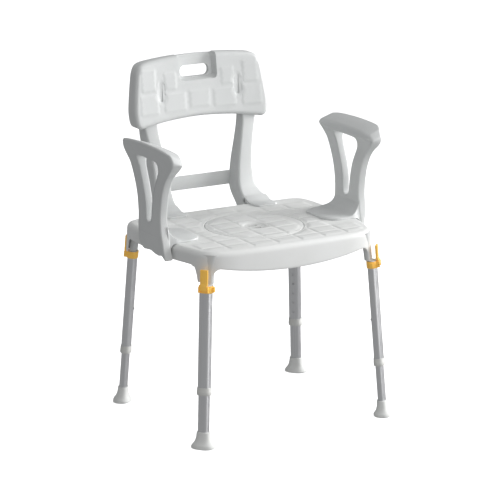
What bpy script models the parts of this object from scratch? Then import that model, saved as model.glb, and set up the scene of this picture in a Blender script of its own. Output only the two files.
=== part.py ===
"""Height-adjustable shower chair: moulded seat, back and armrests on four telescopic legs.

Metres, +Z up, the chair faces -Y, and it stands on z = 0. Everything hangs on one empty at
the middle of the legs. Each leg has an empty of its own on the floor, whose Z runs up the
leg's axis, whose X points outwards along the seat's diagonal and whose Y runs across it.
"""
import math

import bmesh
import bpy
from mathutils import Matrix, Vector

# ---- Driving dimensions ----------------------------------------------------------------
LEG_MIDDLE_Y = -0.0302        # middle of the legs, seen from the middle of the whole chair
GAP = 0.0003                  # between solids that touch

SEAT_TOP = 0.465
SEAT_WALL = 0.0035
SEAT_EDGE_RADIUS = 0.014
SKIRT_DRAFT = 0.05            # how far the skirt leans out for each metre down
SKIRT_FRONT_LOW = 0.405       # lower edge of the skirt at the middle of the front
SKIRT_SIDE_LOW = 0.430
SKIRT_FRONT_ARCH = 0.50       # rise of the front edge with the square of x
POST_LOW = 0.3925             # bottom of the corner posts
POST_HALF_WIDTH = 0.018
POST_ARCH = 0.024
HALF_OUTLINE = (              # right half of the seat's outline, front middle to rear middle
    (0.000, -0.2060), (0.100, -0.2045), (0.175, -0.1990), (0.2165, -0.1870),
    (0.2365, -0.1640), (0.2475, -0.1250), (0.2580, -0.0750), (0.2620, 0.0000),
    (0.2615, 0.0900), (0.2580, 0.1420), (0.2470, 0.1760), (0.2200, 0.1925),
    (0.160, 0.1950), (0.000, 0.1950),
)

INSERT_CENTRE = (0.0, -0.012)
INSERT_RADIUS = 0.1195
INSERT_THICKNESS = 0.0045
SHELF_INNER_RADIUS = 0.110
SHELF_OUTER_RADIUS = 0.126
GRIP_RADIUS = 0.029
GRIP_DEPTH = 0.009

FOOT_X = 0.2500               # the leg's axis on the floor
FOOT_Y = 0.2077
SPLAY_X = 0.0572              # lean of the leg's axis, metres in for each metre up
SPLAY_Y = 0.0596
DIAGONAL = (0.777, 0.630)     # outward direction of a leg's flat side

OUTER_TUBE = (0.0120, 0.01575)    # half sizes along X and Y of the oval outer tube
OUTER_WALL = 0.0015
OUTER_LOW = 0.1310
OUTER_TOP = 0.3895
INNER_TUBE = (0.0100, 0.01375)
INNER_WALL = 0.0014
INNER_LOW = 0.0070
INNER_TOP = 0.2680
HOLE_RADIUS = 0.0029
HOLE_PITCH = 0.025
SPARE_HOLES = 3               # holes above the one in use, and as many below it
BUTTON_HEIGHT = 0.2410
BUTTON_RADIUS = 0.0026
BUTTON_STANDS_OUT = 0.0022
SPRING_STRIP = 0.0007
SPRING_HALF_WIDTH = 0.0035
SPRING_ARM = (-0.0300, 0.0080)    # ends of the button's arm, seen from the button
SPRING_BEND = 0.0035
COLLAR = (0.1270, 0.1455)     # bottom and top of the guide collar
FOOT_TOP = 0.0385
RING = (0.3716, 0.3884)       # bottom and top of the latch ring
RING_WALL = 0.0017
LUG_REACH = 0.0045            # the clasp lug stands out this far and is as wide each way
PIN_X = 0.0172                # the lever's pin, out from the leg's axis
PIN_Z = 0.3800
PIN_RADIUS = 0.0012
KNUCKLE_RADIUS = 0.0026
EAR_THICKNESS = 0.0027
LEVER_HALF_WIDTH = 0.0095
LEVER_TOP = 0.4275
FRONT_LEVER = (0.0104, 0.0160)    # inner and outer face of the lever's plate
REAR_LEVER = (0.0142, 0.0197)
OVAL_POINTS = 20
OVAL_FLAT = math.radians(11.25)   # half the turn that a tube's inward or outward flat takes
ROUND_SIDES = 48              # sides of the seat's large circles

ARM_OUTER_X = 0.2840
ARM_INNER_X = 0.2622
ARM_HOOK_INNER_X = 0.2650
PAD_FALL = 0.30               # metres the pad's top sinks for each metre inwards

PANEL_WALL = 0.004
PANEL_RADIUS = 1.30           # curve of the backrest's face, seen from above
PANEL_FACE_Y = 0.2579         # middle of the face at PANEL_FACE_Z
PANEL_FACE_Z = 0.7305
PANEL_LEAN = 0.142            # metres back for each metre up
PANEL_REAR_Y = 0.2880         # flat rear plane at PANEL_REAR_Z
PANEL_REAR_Z = 0.760
PANEL_REAR_LEAN = 0.10
HANDLE_HALF_WIDTH = 0.052
HANDLE_LOW = 0.776
HANDLE_TOP = 0.810
HANDLE_SETBACK = 0.020
GRASP_HALF_WIDTH = 0.0405     # the hole through the handle, narrower than its recess
GRASP_CORNER = 0.013
SLOT_X = 0.107
SLOT_Z = (0.7305, 0.7775)
SLOT_WIDTH = 0.008

UPRIGHT_WALL = 0.004
CROSSBAR_Z = (0.4955, 0.5310)
CROSSBAR_Y = (0.2800, 0.2855)
CROSSBAR_REACH = 0.1020       # the bar's ends stand inside the uprights

# ---- Materials -------------------------------------------------------------------------
PLASTIC_WHITE = ("white_plastic", (0.78, 0.79, 0.77), 0.38, 0.0)
PLASTIC_ORANGE = ("orange_plastic", (0.85, 0.42, 0.07), 0.35, 0.0)
PLASTIC_COLLAR = ("collar_plastic", (0.72, 0.73, 0.72), 0.45, 0.0)
RUBBER_GREY = ("foot_rubber", (0.62, 0.63, 0.62), 0.70, 0.0)
ALUMINIUM = ("anodised_aluminium", (0.60, 0.61, 0.62), 0.35, 1.0)
SPRING_STEEL = ("spring_steel", (0.55, 0.55, 0.56), 0.30, 1.0)


# ---- Helpers ---------------------------------------------------------------------------
def start_scene():
    for obj in list(bpy.data.objects):
        bpy.data.objects.remove(obj, do_unlink=True)
    parts = bpy.data.collections.new("shower_chair")
    cutters = bpy.data.collections.new("cutters")
    bpy.context.scene.collection.children.link(parts)
    bpy.context.scene.collection.children.link(cutters)
    return parts, cutters


PARTS, CUTTERS = start_scene()


def material(spec):
    name, colour, roughness, metallic = spec
    found = bpy.data.materials.get(name)
    if found:
        return found
    made = bpy.data.materials.new(name)
    made.use_nodes = True
    shader = made.node_tree.nodes["Principled BSDF"]
    shader.inputs["Base Color"].default_value = (*colour, 1.0)
    shader.inputs["Roughness"].default_value = roughness
    shader.inputs["Metallic"].default_value = metallic
    return made


def empty(name, matrix, parent=None):
    made = bpy.data.objects.new(name, None)
    made.empty_display_size = 0.05
    made.parent = parent
    made.matrix_local = matrix
    PARTS.objects.link(made)
    return made


def finish_mesh(name, bm):
    bmesh.ops.remove_doubles(bm, verts=bm.verts, dist=0.00001)
    bmesh.ops.recalc_face_normals(bm, faces=bm.faces)
    mesh = bpy.data.meshes.new(name)
    bm.to_mesh(mesh)
    bm.free()
    mesh.shade_smooth()
    mesh.set_sharp_from_angle(angle=math.radians(35))
    return mesh


def piece(name, mesh, spec, parent, place=None):
    obj = bpy.data.objects.new(name, mesh)
    PARTS.objects.link(obj)
    obj.parent = parent
    obj.matrix_local = place if place else Matrix.Identity(4)
    if not mesh.materials:
        mesh.materials.append(material(spec))
    return obj


def cutter(name, mesh, parent, place=None):
    obj = bpy.data.objects.new(name, mesh)
    CUTTERS.objects.link(obj)
    obj.parent = parent
    obj.matrix_local = place if place else Matrix.Identity(4)
    obj.display_type = "WIRE"
    obj.hide_render = True
    return obj


def boolean(obj, tool, operation):
    step = obj.modifiers.new(operation.lower() + "_" + tool.name, "BOOLEAN")
    step.operation = operation
    step.object = tool
    step.solver = "EXACT"
    return obj


def loft(rings, closed=False):
    """Faces between rings of equal count; closed joins the last ring to the first."""
    bm = bmesh.new()
    rows = [[bm.verts.new(point) for point in ring] for ring in rings]
    pairs = list(zip(rows, rows[1:]))
    if closed:
        pairs.append((rows[-1], rows[0]))
    for low, high in pairs:
        for i in range(len(low)):
            j = (i + 1) % len(low)
            bm.faces.new((low[i], low[j], high[j], high[i]))
    if not closed:
        bm.faces.new(reversed(rows[0]))
        bm.faces.new(rows[-1])
    return bm


PLANES = {
    "xy": Matrix.Identity(4),
    "yz": Matrix(((0, 0, 1, 0), (1, 0, 0, 0), (0, 1, 0, 0), (0, 0, 0, 1))),
    "xz": Matrix(((1, 0, 0, 0), (0, 0, -1, 0), (0, 1, 0, 0), (0, 0, 0, 1))),
}


def prism(name, loops, plane, low, high):
    """A flat outline, with holes, drawn in a plane and extruded across it from low to high."""
    curve = bpy.data.curves.new(name + "_outline", "CURVE")
    curve.dimensions = "2D"
    curve.fill_mode = "BOTH"
    curve.extrude = abs(high - low) / 2
    for loop in loops:
        spline = curve.splines.new("POLY")
        spline.points.add(len(loop) - 1)
        spline.use_cyclic_u = True
        for point, (u, v) in zip(spline.points, loop):
            point.co = (u, v, 0.0, 1.0)
    guide = bpy.data.objects.new(name + "_outline", curve)
    PARTS.objects.link(guide)
    middle = (low + high) / 2
    across = {"xy": (0, 0, middle), "yz": (middle, 0, 0), "xz": (0, middle, 0)}[plane]
    guide.matrix_world = Matrix.Translation(across) @ PLANES[plane]
    bpy.context.view_layer.update()
    solid = bpy.data.meshes.new_from_object(guide.evaluated_get(bpy.context.evaluated_depsgraph_get()))
    bm = bmesh.new()
    bm.from_mesh(solid)
    bm.transform(guide.matrix_world)
    bpy.data.objects.remove(guide, do_unlink=True)
    bpy.data.meshes.remove(solid)
    return finish_mesh(name, bm)


def box(name, low, high):
    bm = bmesh.new()
    bmesh.ops.create_cube(bm, size=1.0)
    size = Vector(high) - Vector(low)
    middle = (Vector(high) + Vector(low)) / 2
    bmesh.ops.scale(bm, vec=size, verts=bm.verts)
    bmesh.ops.translate(bm, vec=middle, verts=bm.verts)
    return finish_mesh(name, bm)


def cylinder(name, radius, start, end, sides=24):
    axis = Vector(end) - Vector(start)
    bm = bmesh.new()
    bmesh.ops.create_cone(bm, cap_ends=True, segments=sides, radius1=radius, radius2=radius,
                          depth=axis.length)
    turn = Vector((0, 0, 1)).rotation_difference(axis).to_matrix().to_4x4()
    bm.transform(Matrix.Translation((Vector(start) + Vector(end)) / 2) @ turn)
    return finish_mesh(name, bm)


def spline_through(points, steps, cyclic=False):
    """Catmull-Rom curve through points, with steps pieces between neighbours."""
    count = len(points)
    made = []
    for i in range(count if cyclic else count - 1):
        before = Vector(points[(i - 1) % count if cyclic else max(i - 1, 0)])
        start = Vector(points[i])
        end = Vector(points[(i + 1) % count])
        after = Vector(points[(i + 2) % count if cyclic else min(i + 2, count - 1)])
        for k in range(steps):
            t = k / steps
            made.append(0.5 * (2 * start + (end - before) * t
                               + (2 * before - 5 * start + 4 * end - after) * t * t
                               + (3 * start - before - 3 * end + after) * t * t * t))
    if not cyclic:
        made.append(Vector(points[-1]))
    return made


def arc(centre, radius, start_deg, end_deg, steps):
    turn = [math.radians(start_deg + (end_deg - start_deg) * k / steps) for k in range(steps + 1)]
    return [(centre[0] + radius * math.cos(t), centre[1] + radius * math.sin(t)) for t in turn]


def rounded_rectangle(low, high, radius, steps=4):
    corners = (((high[0] - radius, high[1] - radius), 0), ((low[0] + radius, high[1] - radius), 90),
               ((low[0] + radius, low[1] + radius), 180), ((high[0] - radius, low[1] + radius), 270))
    return [point for centre, turn in corners for point in arc(centre, radius, turn, turn + 90, steps)]


def oval(half_x, half_y, height, centre_x=0.0):
    """A slightly squared oval, level at height, with one flat face at each end of X."""
    squareness = 2.0 / 2.35
    steps = OVAL_POINTS // 2 - 1
    half_turn = [OVAL_FLAT + (math.pi - 2 * OVAL_FLAT) * k / steps for k in range(steps + 1)]
    ring = []
    for t in half_turn + [math.pi + t for t in half_turn]:
        c, s = math.cos(t), math.sin(t)
        ring.append(Vector((centre_x + half_x * math.copysign(abs(c) ** squareness, c),
                            half_y * math.copysign(abs(s) ** squareness, s), height)))
    return ring


# ---- Seat ------------------------------------------------------------------------------
def seat_outline():
    """Points of the skirt's outline, close together at the four corner posts."""
    right = list(HALF_OUTLINE)
    left = [(-x, y) for x, y in reversed(right[1:-1])]
    fine = spline_through(right + left, 12, cyclic=True)
    lengths = [0.0]
    for a, b in zip(fine, fine[1:] + fine[:1]):
        lengths.append(lengths[-1] + (b - a).length)
    total = lengths[-1]

    def at(s):
        s %= total
        k = max(i for i, start in enumerate(lengths[:-1]) if start <= s)
        part = (s - lengths[k]) / (lengths[k + 1] - lengths[k])
        return fine[k].lerp(fine[(k + 1) % len(fine)], part)

    posts = []
    for side_x, side_y in ((1, -1), (1, 1), (-1, 1), (-1, -1)):
        reach = [p.x * side_x * DIAGONAL[0] + p.y * side_y * DIAGONAL[1] for p in fine]
        posts.append(lengths[reach.index(max(reach))])
    near = [0.0, 0.010, POST_HALF_WIDTH] + [POST_HALF_WIDTH + POST_ARCH * (1 - math.cos(math.radians(a)))
                                            for a in (30, 50, 70, 90)]
    stops = sorted({(s + way * d) % total for s in posts for d in near for way in (-1, 1)})
    filled = []
    for a, b in zip(stops, stops[1:] + [stops[0] + total]):
        pieces = max(1, round((b - a) / 0.045))
        filled += [a + (b - a) * k / pieces for k in range(pieces)]
    outline = []
    for s in filled:
        away = min(min(abs(s - p) % total, total - abs(s - p) % total) for p in posts)
        outline.append((at(s), away))
    return outline


def skirt_low(point, away):
    """Height of the skirt's lower edge: a shallow bow, with an arch up from each post."""
    if point.y < -0.15:
        edge = SKIRT_FRONT_LOW + SKIRT_FRONT_ARCH * point.x ** 2
    else:
        edge = SKIRT_SIDE_LOW
    rise = min(max((away - POST_HALF_WIDTH) / POST_ARCH, 0.0), 1.0)
    return POST_LOW + (edge - POST_LOW) * math.sqrt(1 - (1 - rise) ** 2)


def inset_ring(points, inset, heights):
    ring = []
    count = len(points)
    for k, point in enumerate(points):
        along = points[(k + 1) % count] - points[k - 1]
        outward = Vector((along.y, -along.x)).normalized()
        moved = point - outward * inset(k)
        ring.append(Vector((moved.x, moved.y, heights(k))))
    return ring


def seat_shell_mesh():
    outline = seat_outline()
    points = [point for point, away in outline]
    lows = [skirt_low(point, away) for point, away in outline]
    shoulder = SEAT_TOP - SEAT_EDGE_RADIUS
    rings = [inset_ring(points, lambda k: -SKIRT_DRAFT * (shoulder - lows[k]), lambda k: lows[k])]
    for angle in (0, 30, 60, 90):
        turn = math.radians(angle)
        rings.append(inset_ring(points, lambda k: SEAT_EDGE_RADIUS * (1 - math.cos(turn)),
                                lambda k: shoulder + SEAT_EDGE_RADIUS * math.sin(turn)))
    bm = loft(rings)
    bottom = min(bm.faces, key=lambda face: face.calc_center_median().z if len(face.verts) > 4 else 1.0)
    bmesh.ops.delete(bm, geom=[bottom], context="FACES_ONLY")
    bmesh.ops.recalc_face_normals(bm, faces=bm.faces)
    top = max(bm.faces, key=lambda face: face.calc_center_median().z)
    if top.normal.z < 0:
        bmesh.ops.reverse_faces(bm, faces=bm.faces)
    mesh = bpy.data.meshes.new("seat_body")
    bm.to_mesh(mesh)
    bm.free()
    mesh.shade_smooth()
    mesh.set_sharp_from_angle(angle=math.radians(35))
    return mesh


def post_core_mesh(front):
    """Plug that fills the leg's mouth, with a gusset above it that leans in under the seat."""
    half_x = OUTER_TUBE[0] - OUTER_WALL - GAP * 1.5
    half_y = OUTER_TUBE[1] - OUTER_WALL - GAP * 1.5
    lean = 0.0085 if front else 0.0015
    rings = [
        oval(half_x - 0.0015, half_y - 0.0015, 0.3470),
        oval(half_x, half_y, 0.3490),
        oval(half_x, half_y, OUTER_TOP + GAP),
        oval(0.0095, 0.0150, OUTER_TOP + 0.0020, -lean),
        oval(0.0095, 0.0150, 0.4250, -lean - 0.002),
        oval(0.0120, 0.0190, 0.4450, -lean - 0.004),
        oval(0.0160, 0.0240, 0.4640, -lean - 0.008),
    ]
    return finish_mesh("post_core", loft(rings))


def make_seat(chair, legs):
    seat = piece("seat_body", seat_shell_mesh(), PLASTIC_WHITE, chair)
    wall = seat.modifiers.new("wall", "SOLIDIFY")
    wall.thickness = SEAT_WALL
    wall.offset = -1.0
    for name, leg in legs.items():
        core = cutter("post_core_" + name, post_core_mesh(name.startswith("front")), leg)
        boolean(seat, core, "UNION")
    x, y = INSERT_CENTRE
    shelf_top = SEAT_TOP - INSERT_THICKNESS - GAP
    shelf = cylinder("insert_shelf", SHELF_OUTER_RADIUS, (x, y, shelf_top - SEAT_WALL),
                     (x, y, SEAT_TOP - 0.001), ROUND_SIDES)
    boolean(seat, cutter("insert_shelf", shelf, chair), "UNION")
    pocket = cylinder("insert_pocket", INSERT_RADIUS + 0.0005, (x, y, shelf_top),
                      (x, y, SEAT_TOP + 0.01), ROUND_SIDES)
    boolean(seat, cutter("insert_pocket", pocket, chair), "DIFFERENCE")
    hole = cylinder("insert_hole", SHELF_INNER_RADIUS, (x, y, SEAT_TOP - 0.03),
                    (x, y, SEAT_TOP + 0.01), ROUND_SIDES)
    boolean(seat, cutter("insert_hole", hole, chair), "DIFFERENCE")
    for side in (-1, 1):
        socket = box("arm_socket", (side * 0.2065 - 0.0105, -0.0305, SEAT_TOP - 0.02),
                     (side * 0.2065 + 0.0105, 0.0305, SEAT_TOP + 0.01))
        word = "left" if side < 0 else "right"
        boolean(seat, cutter("arm_socket_" + word, socket, chair), "DIFFERENCE")
    return seat


def make_insert(chair):
    """Round hygiene insert: a turned disc with a finger bowl whose bar is left by two slots."""
    rim_low = SEAT_TOP - INSERT_THICKNESS
    bowl_low = SEAT_TOP - GRIP_DEPTH
    profile = (
        (0.0, bowl_low), (GRIP_RADIUS - 0.006, bowl_low), (GRIP_RADIUS, SEAT_TOP),
        (INSERT_RADIUS - 0.001, SEAT_TOP), (INSERT_RADIUS, SEAT_TOP - 0.001), (INSERT_RADIUS, rim_low),
        (SHELF_INNER_RADIUS - 0.0006, rim_low), (SHELF_INNER_RADIUS - 0.0010, rim_low - 0.006),
        (SHELF_INNER_RADIUS - 0.0040, rim_low - 0.006), (SHELF_INNER_RADIUS - 0.0045, rim_low + 0.0005),
        (GRIP_RADIUS + 0.004, rim_low + 0.0005), (GRIP_RADIUS - 0.002, bowl_low - 0.0035),
        (0.0, bowl_low - 0.0035),
    )
    bm = bmesh.new()
    verts = [bm.verts.new((r, 0.0, z)) for r, z in profile]
    for a, b in zip(verts, verts[1:]):
        bm.edges.new((a, b))
    mesh = bpy.data.meshes.new("seat_insert")
    bm.to_mesh(mesh)
    bm.free()
    insert = piece("seat_insert", mesh, PLASTIC_WHITE, chair, Matrix.Translation((*INSERT_CENTRE, 0.0)))
    turn = insert.modifiers.new("turn", "SCREW")
    turn.steps = ROUND_SIDES
    turn.render_steps = ROUND_SIDES
    turn.use_merge_vertices = True
    turn.merge_threshold = 0.00001
    turn.use_smooth_shade = True
    for side in (-1, 1):
        loop = rounded_rectangle((-0.0145, side * 0.0105 - 0.0055), (0.0145, side * 0.0105 + 0.0055), 0.004)
        slot = prism("grip_slot", [loop], "xy", SEAT_TOP - 0.03, SEAT_TOP + 0.01)
        boolean(insert, cutter("grip_slot_" + ("rear" if side > 0 else "front"), slot, insert), "DIFFERENCE")
    return insert


# ---- Armrests --------------------------------------------------------------------------
def arm_side_outline():
    """Y-shaped side view: pad end, front strut, hooked base, rear strut."""
    front = [(-0.122, 0.690), (-0.131, 0.672), (-0.126, 0.655), (-0.105, 0.638), (-0.087, 0.618),
             (-0.073, 0.590), (-0.065, 0.560), (-0.062, 0.525), (-0.066, 0.495), (-0.076, 0.465),
             (-0.092, 0.446), (-0.112, 0.4355)]
    hem = [(-0.090, 0.4350), (-0.068, 0.4390), (-0.045, 0.4350), (-0.010, 0.4400), (0.020, 0.4370),
           (0.038, 0.4450), (0.0485, 0.4700)]
    rear = [(0.0475, 0.525), (0.053, 0.565), (0.067, 0.600), (0.087, 0.635), (0.103, 0.657), (0.108, 0.690)]
    return [tuple(p) for p in spline_through(front + hem[:1], 2)[:-1]
            + spline_through(hem, 2)[:-1] + spline_through(hem[-1:] + rear, 2)]


def arm_hole_outline():
    corners = [(0.046, 0.652), (0.036, 0.660), (-0.046, 0.658), (-0.058, 0.650), (-0.050, 0.628),
               (-0.034, 0.600), (-0.023, 0.565), (-0.018, 0.522), (-0.006, 0.509), (0.009, 0.520),
               (0.014, 0.560), (0.027, 0.600)]
    return [tuple(p) for p in spline_through(corners, 2, cyclic=True)]


def arm_pad_mesh():
    """Crowned pad with rounded ends that overhangs the struts and falls towards the sitter."""
    rings = []
    for y, half, lift in ((-0.1330, 0.012, -0.004), (-0.1290, 0.018, -0.002), (-0.1180, 0.0225, 0.0005),
                          (-0.0500, 0.0245, 0.0040), (0.0500, 0.0245, 0.0020), (0.0980, 0.0240, 0.0),
                          (0.1050, 0.0210, -0.001), (0.1080, 0.0150, -0.002)):
        centre, top, low = 0.2725, 0.6985 + lift, 0.6700 + lift
        if half < 0.0215:
            top -= (0.0245 - half) * 0.6
            low += (0.0245 - half) * 0.9
        edge = (top + low) / 2
        rings.append([Vector((centre + u * half, y, z - PAD_FALL * (1 - u) * half)) for u, z in (
            (-1.0, edge + 0.004), (-0.8, top - 0.003), (0.0, top), (0.8, top - 0.003), (1.0, edge + 0.004),
            (0.95, edge - 0.006), (0.55, low), (-0.55, low), (-0.95, edge - 0.006))])
    return finish_mesh("arm_pad", loft(rings))


def arm_foot_mesh():
    """Front view of the base: the seat tongue, the round fillet up to the strut and the hook."""
    tongue_top = SEAT_TOP + 0.0050
    fillet = arc((ARM_INNER_X - 0.0394, tongue_top + 0.040), 0.040, 270, 360, 6)
    loop = [(0.1720, SEAT_TOP + GAP), (0.1720, SEAT_TOP + 0.0030), (0.1745, tongue_top)] + fillet
    loop += [(0.2800, 0.5200), (0.2800, SEAT_TOP + GAP)]
    return prism("arm_foot", [loop], "xz", -0.0800, 0.0780)


def arm_tongue_plan():
    corner = [(0.1720, -0.0350), (0.1760, -0.0520), (0.1880, -0.0660), (0.2100, -0.0740)]
    return [*corner, (0.2500, -0.0720), (0.2900, -0.0640), (0.2900, 0.0500), (0.2620, 0.0560),
            (0.2400, 0.0720), (0.2080, 0.0580), (0.1780, 0.0400), (0.1720, 0.0300)]


def make_armrest(chair, side):
    """Built on the right; the left one is the same mesh turned over by a negative X."""
    name = "armrest_right" if side > 0 else "armrest_left"
    plate = prism(name, [arm_side_outline(), arm_hole_outline()], "yz", ARM_INNER_X, ARM_OUTER_X)
    flip = Matrix.Diagonal((side, 1.0, 1.0, 1.0))

    def mirrored(mesh):
        mesh.transform(flip)
        if side < 0:
            mesh.flip_normals()
        return mesh

    arm = piece(name, mirrored(plate), PLASTIC_WHITE, chair)
    relief = box("hook_relief", (ARM_INNER_X - 0.01, -0.14, 0.42),
                 (ARM_HOOK_INNER_X, 0.10, SEAT_TOP + 2 * GAP))
    boolean(arm, cutter(name + "_hook_relief", mirrored(relief), chair), "DIFFERENCE")
    boolean(arm, cutter(name + "_pad", mirrored(arm_pad_mesh()), chair), "UNION")
    foot = cutter(name + "_foot", mirrored(arm_foot_mesh()), chair)
    plan = prism("tongue_plan", [arm_tongue_plan()], "xy", 0.45, 0.60)
    boolean(foot, cutter(name + "_plan", mirrored(plan), chair), "INTERSECT")
    boolean(arm, foot, "UNION")
    peg = box("arm_peg", (0.1965, -0.0300, SEAT_TOP - 0.012), (0.2165, 0.0300, SEAT_TOP + 0.003))
    boolean(arm, cutter(name + "_peg", mirrored(peg), chair), "UNION")
    return arm


# ---- Back ------------------------------------------------------------------------------
def face_y(x, z):
    return PANEL_FACE_Y + (z - PANEL_FACE_Z) * PANEL_LEAN - x * x / (2 * PANEL_RADIUS)


def rear_y(z):
    return PANEL_REAR_Y + (z - PANEL_REAR_Z) * PANEL_REAR_LEAN


def panel_outline(inset):
    """Front view of the backrest: arched bottom, crowned top and round corners."""
    half = [(0.000, 0.6845), (0.090, 0.6800), (0.150, 0.6720), (0.1715, 0.6700), (0.1830, 0.6800),
            (0.1865, 0.7050), (0.1850, 0.7300), (0.1785, 0.7800), (0.1720, 0.8100), (0.1580, 0.8260),
            (0.120, 0.8325), (0.060, 0.8370), (0.000, 0.8385)]
    loop = half + [(-x, z) for x, z in reversed(half[1:-1])]
    points = spline_through(loop, 2, cyclic=True)
    count = len(points)
    moved = []
    for k, point in enumerate(points):
        along = points[(k + 1) % count] - points[k - 1]
        inward = Vector((-along.y, along.x)).normalized()
        moved.append(tuple(point + inward * inset))
    return moved


def face_mould(name, depth, half_width):
    """Everything in front of the curved face moved back by depth, as a tool to cut with."""
    top, low = 0.90, 0.60
    steps = 16
    back = []
    for k in range(steps + 1):
        x = half_width * (2 * k / steps - 1)
        back.append((x, face_y(x, low) + depth))
    rise = Matrix.Identity(4)
    rise[1][2] = PANEL_LEAN
    loop = [(-half_width, 0.10), (half_width, 0.10)] + list(reversed(back))
    mesh = prism(name, [loop], "xy", 0.0, top - low)
    mesh.transform(Matrix.Translation((0, 0, low)) @ rise)
    return mesh


def rear_mould(name, depth):
    """Everything behind the flat rear plane moved forward by depth."""
    top, low = 0.90, 0.60
    loop = [(rear_y(low) - depth, low), (0.40, low), (0.40, top), (rear_y(top) - depth, top)]
    return prism(name, [loop], "yz", -0.25, 0.25)


def make_panel(chair):
    slab = prism("back_panel", [panel_outline(0.0)], "xz", 0.18, 0.34)
    panel = piece("back_panel", slab, PLASTIC_WHITE, chair)
    boolean(panel, cutter("panel_face", face_mould("panel_face", 0.0, 0.25), chair), "DIFFERENCE")
    boolean(panel, cutter("panel_rear", rear_mould("panel_rear", 0.0), chair), "DIFFERENCE")
    core = prism("panel_hollow", [panel_outline(PANEL_WALL)], "xz", 0.17, 0.36)
    hollow = cutter("panel_hollow", core, chair)
    inner_face = face_mould("panel_inner_face", PANEL_WALL, 0.24)
    boolean(hollow, cutter("panel_inner_face", inner_face, chair), "DIFFERENCE")
    grip = box("handle_block", (-HANDLE_HALF_WIDTH - PANEL_WALL, 0.16, HANDLE_LOW - PANEL_WALL),
               (HANDLE_HALF_WIDTH + PANEL_WALL, 0.37, 0.90))
    boolean(hollow, cutter("handle_block", grip, chair), "DIFFERENCE")
    boolean(panel, hollow, "DIFFERENCE")
    scoop_loop = rounded_rectangle((-HANDLE_HALF_WIDTH, HANDLE_LOW), (HANDLE_HALF_WIDTH, 0.90), 0.012)
    scoop = cutter("handle_scoop", prism("handle_scoop", [scoop_loop], "xz", 0.15, 0.33), chair)
    setback = face_mould("handle_setback", HANDLE_SETBACK, 0.10)
    boolean(scoop, cutter("handle_setback", setback, chair), "INTERSECT")
    boolean(panel, scoop, "DIFFERENCE")
    hole_loop = rounded_rectangle((-GRASP_HALF_WIDTH, HANDLE_LOW), (GRASP_HALF_WIDTH, HANDLE_TOP),
                                  GRASP_CORNER)
    hole = prism("handle_hole", [hole_loop], "xz", 0.14, 0.35)
    boolean(panel, cutter("handle_hole", hole, chair), "DIFFERENCE")
    for side in (-1, 1):
        word = "left" if side < 0 else "right"
        loop = rounded_rectangle((side * SLOT_X - SLOT_WIDTH / 2, SLOT_Z[0]),
                                 (side * SLOT_X + SLOT_WIDTH / 2, SLOT_Z[1]), 0.0035)
        slot = prism("panel_slot", [loop], "xz", 0.19, 0.35)
        boolean(panel, cutter("panel_slot_" + word, slot, chair), "DIFFERENCE")
        notch = box("upright_notch", (min(side * 0.1150, side * 0.1595), 0.2520, 0.650),
                    (max(side * 0.1150, side * 0.1595), 0.320, 0.700))
        boolean(panel, cutter("upright_notch_" + word, notch, chair), "DIFFERENCE")
    return panel


def upright_side_outline(inset):
    """Side view of an upright: bowed back, swept forward into a flange on the seat's rear edge."""
    front = [(0.2665, 0.800), (0.2585, 0.720), (0.2535, 0.668), (0.2480, 0.630), (0.2415, 0.580),
             (0.2375, 0.550), (0.2290, 0.510), (0.2180, 0.490), (0.1980, 0.4755), (0.1600, 0.4700),
             (0.1400, 0.4690)]
    rear = [(0.2310, 0.4400), (0.2480, 0.4580), (0.2700, 0.4790), (0.2810, 0.5000), (0.2860, 0.5290),
            (0.2860, 0.6000), (0.2850, 0.6600), (0.2845, 0.7200), (0.2900, 0.8000)]
    if inset:
        front = [(y + inset, z) for y, z in front if z > 0.48]
        rear = [(y + 0.02, z) for y, z in rear]
        foot = [(0.2180, 0.4750), (0.2180, 0.4300), (0.2400, 0.4300)]
        return [(front[0][0], 0.85), *front, *foot, *rear, (rear[-1][0], 0.85)]
    base = [(0.1400, SEAT_TOP + GAP), (0.1975, SEAT_TOP + GAP), (0.1975, 0.4400)]
    return [tuple(p) for p in spline_through(front, 2)] + base + [tuple(p) for p in spline_through(rear, 2)]


def upright_front_outline(inset):
    """Front view of the right upright: straight inner edge, outer edge that spreads at the foot."""
    inner = [(0.1190, 0.810), (0.1190, 0.670), (0.1100, 0.617), (0.1010, 0.565), (0.0950, 0.520),
             (0.0940, 0.430)]
    outer = [(0.1580, 0.430), (0.1560, 0.474), (0.1480, 0.488), (0.1400, 0.510), (0.1380, 0.540),
             (0.1400, 0.580), (0.1470, 0.625), (0.1550, 0.665), (0.1560, 0.700), (0.1560, 0.810)]
    if inset:
        return [(x + inset, z) for x, z in inner] + [(x - inset, z) for x, z in outer]
    return spline_through(inner, 2) + spline_through(outer, 2)


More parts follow.
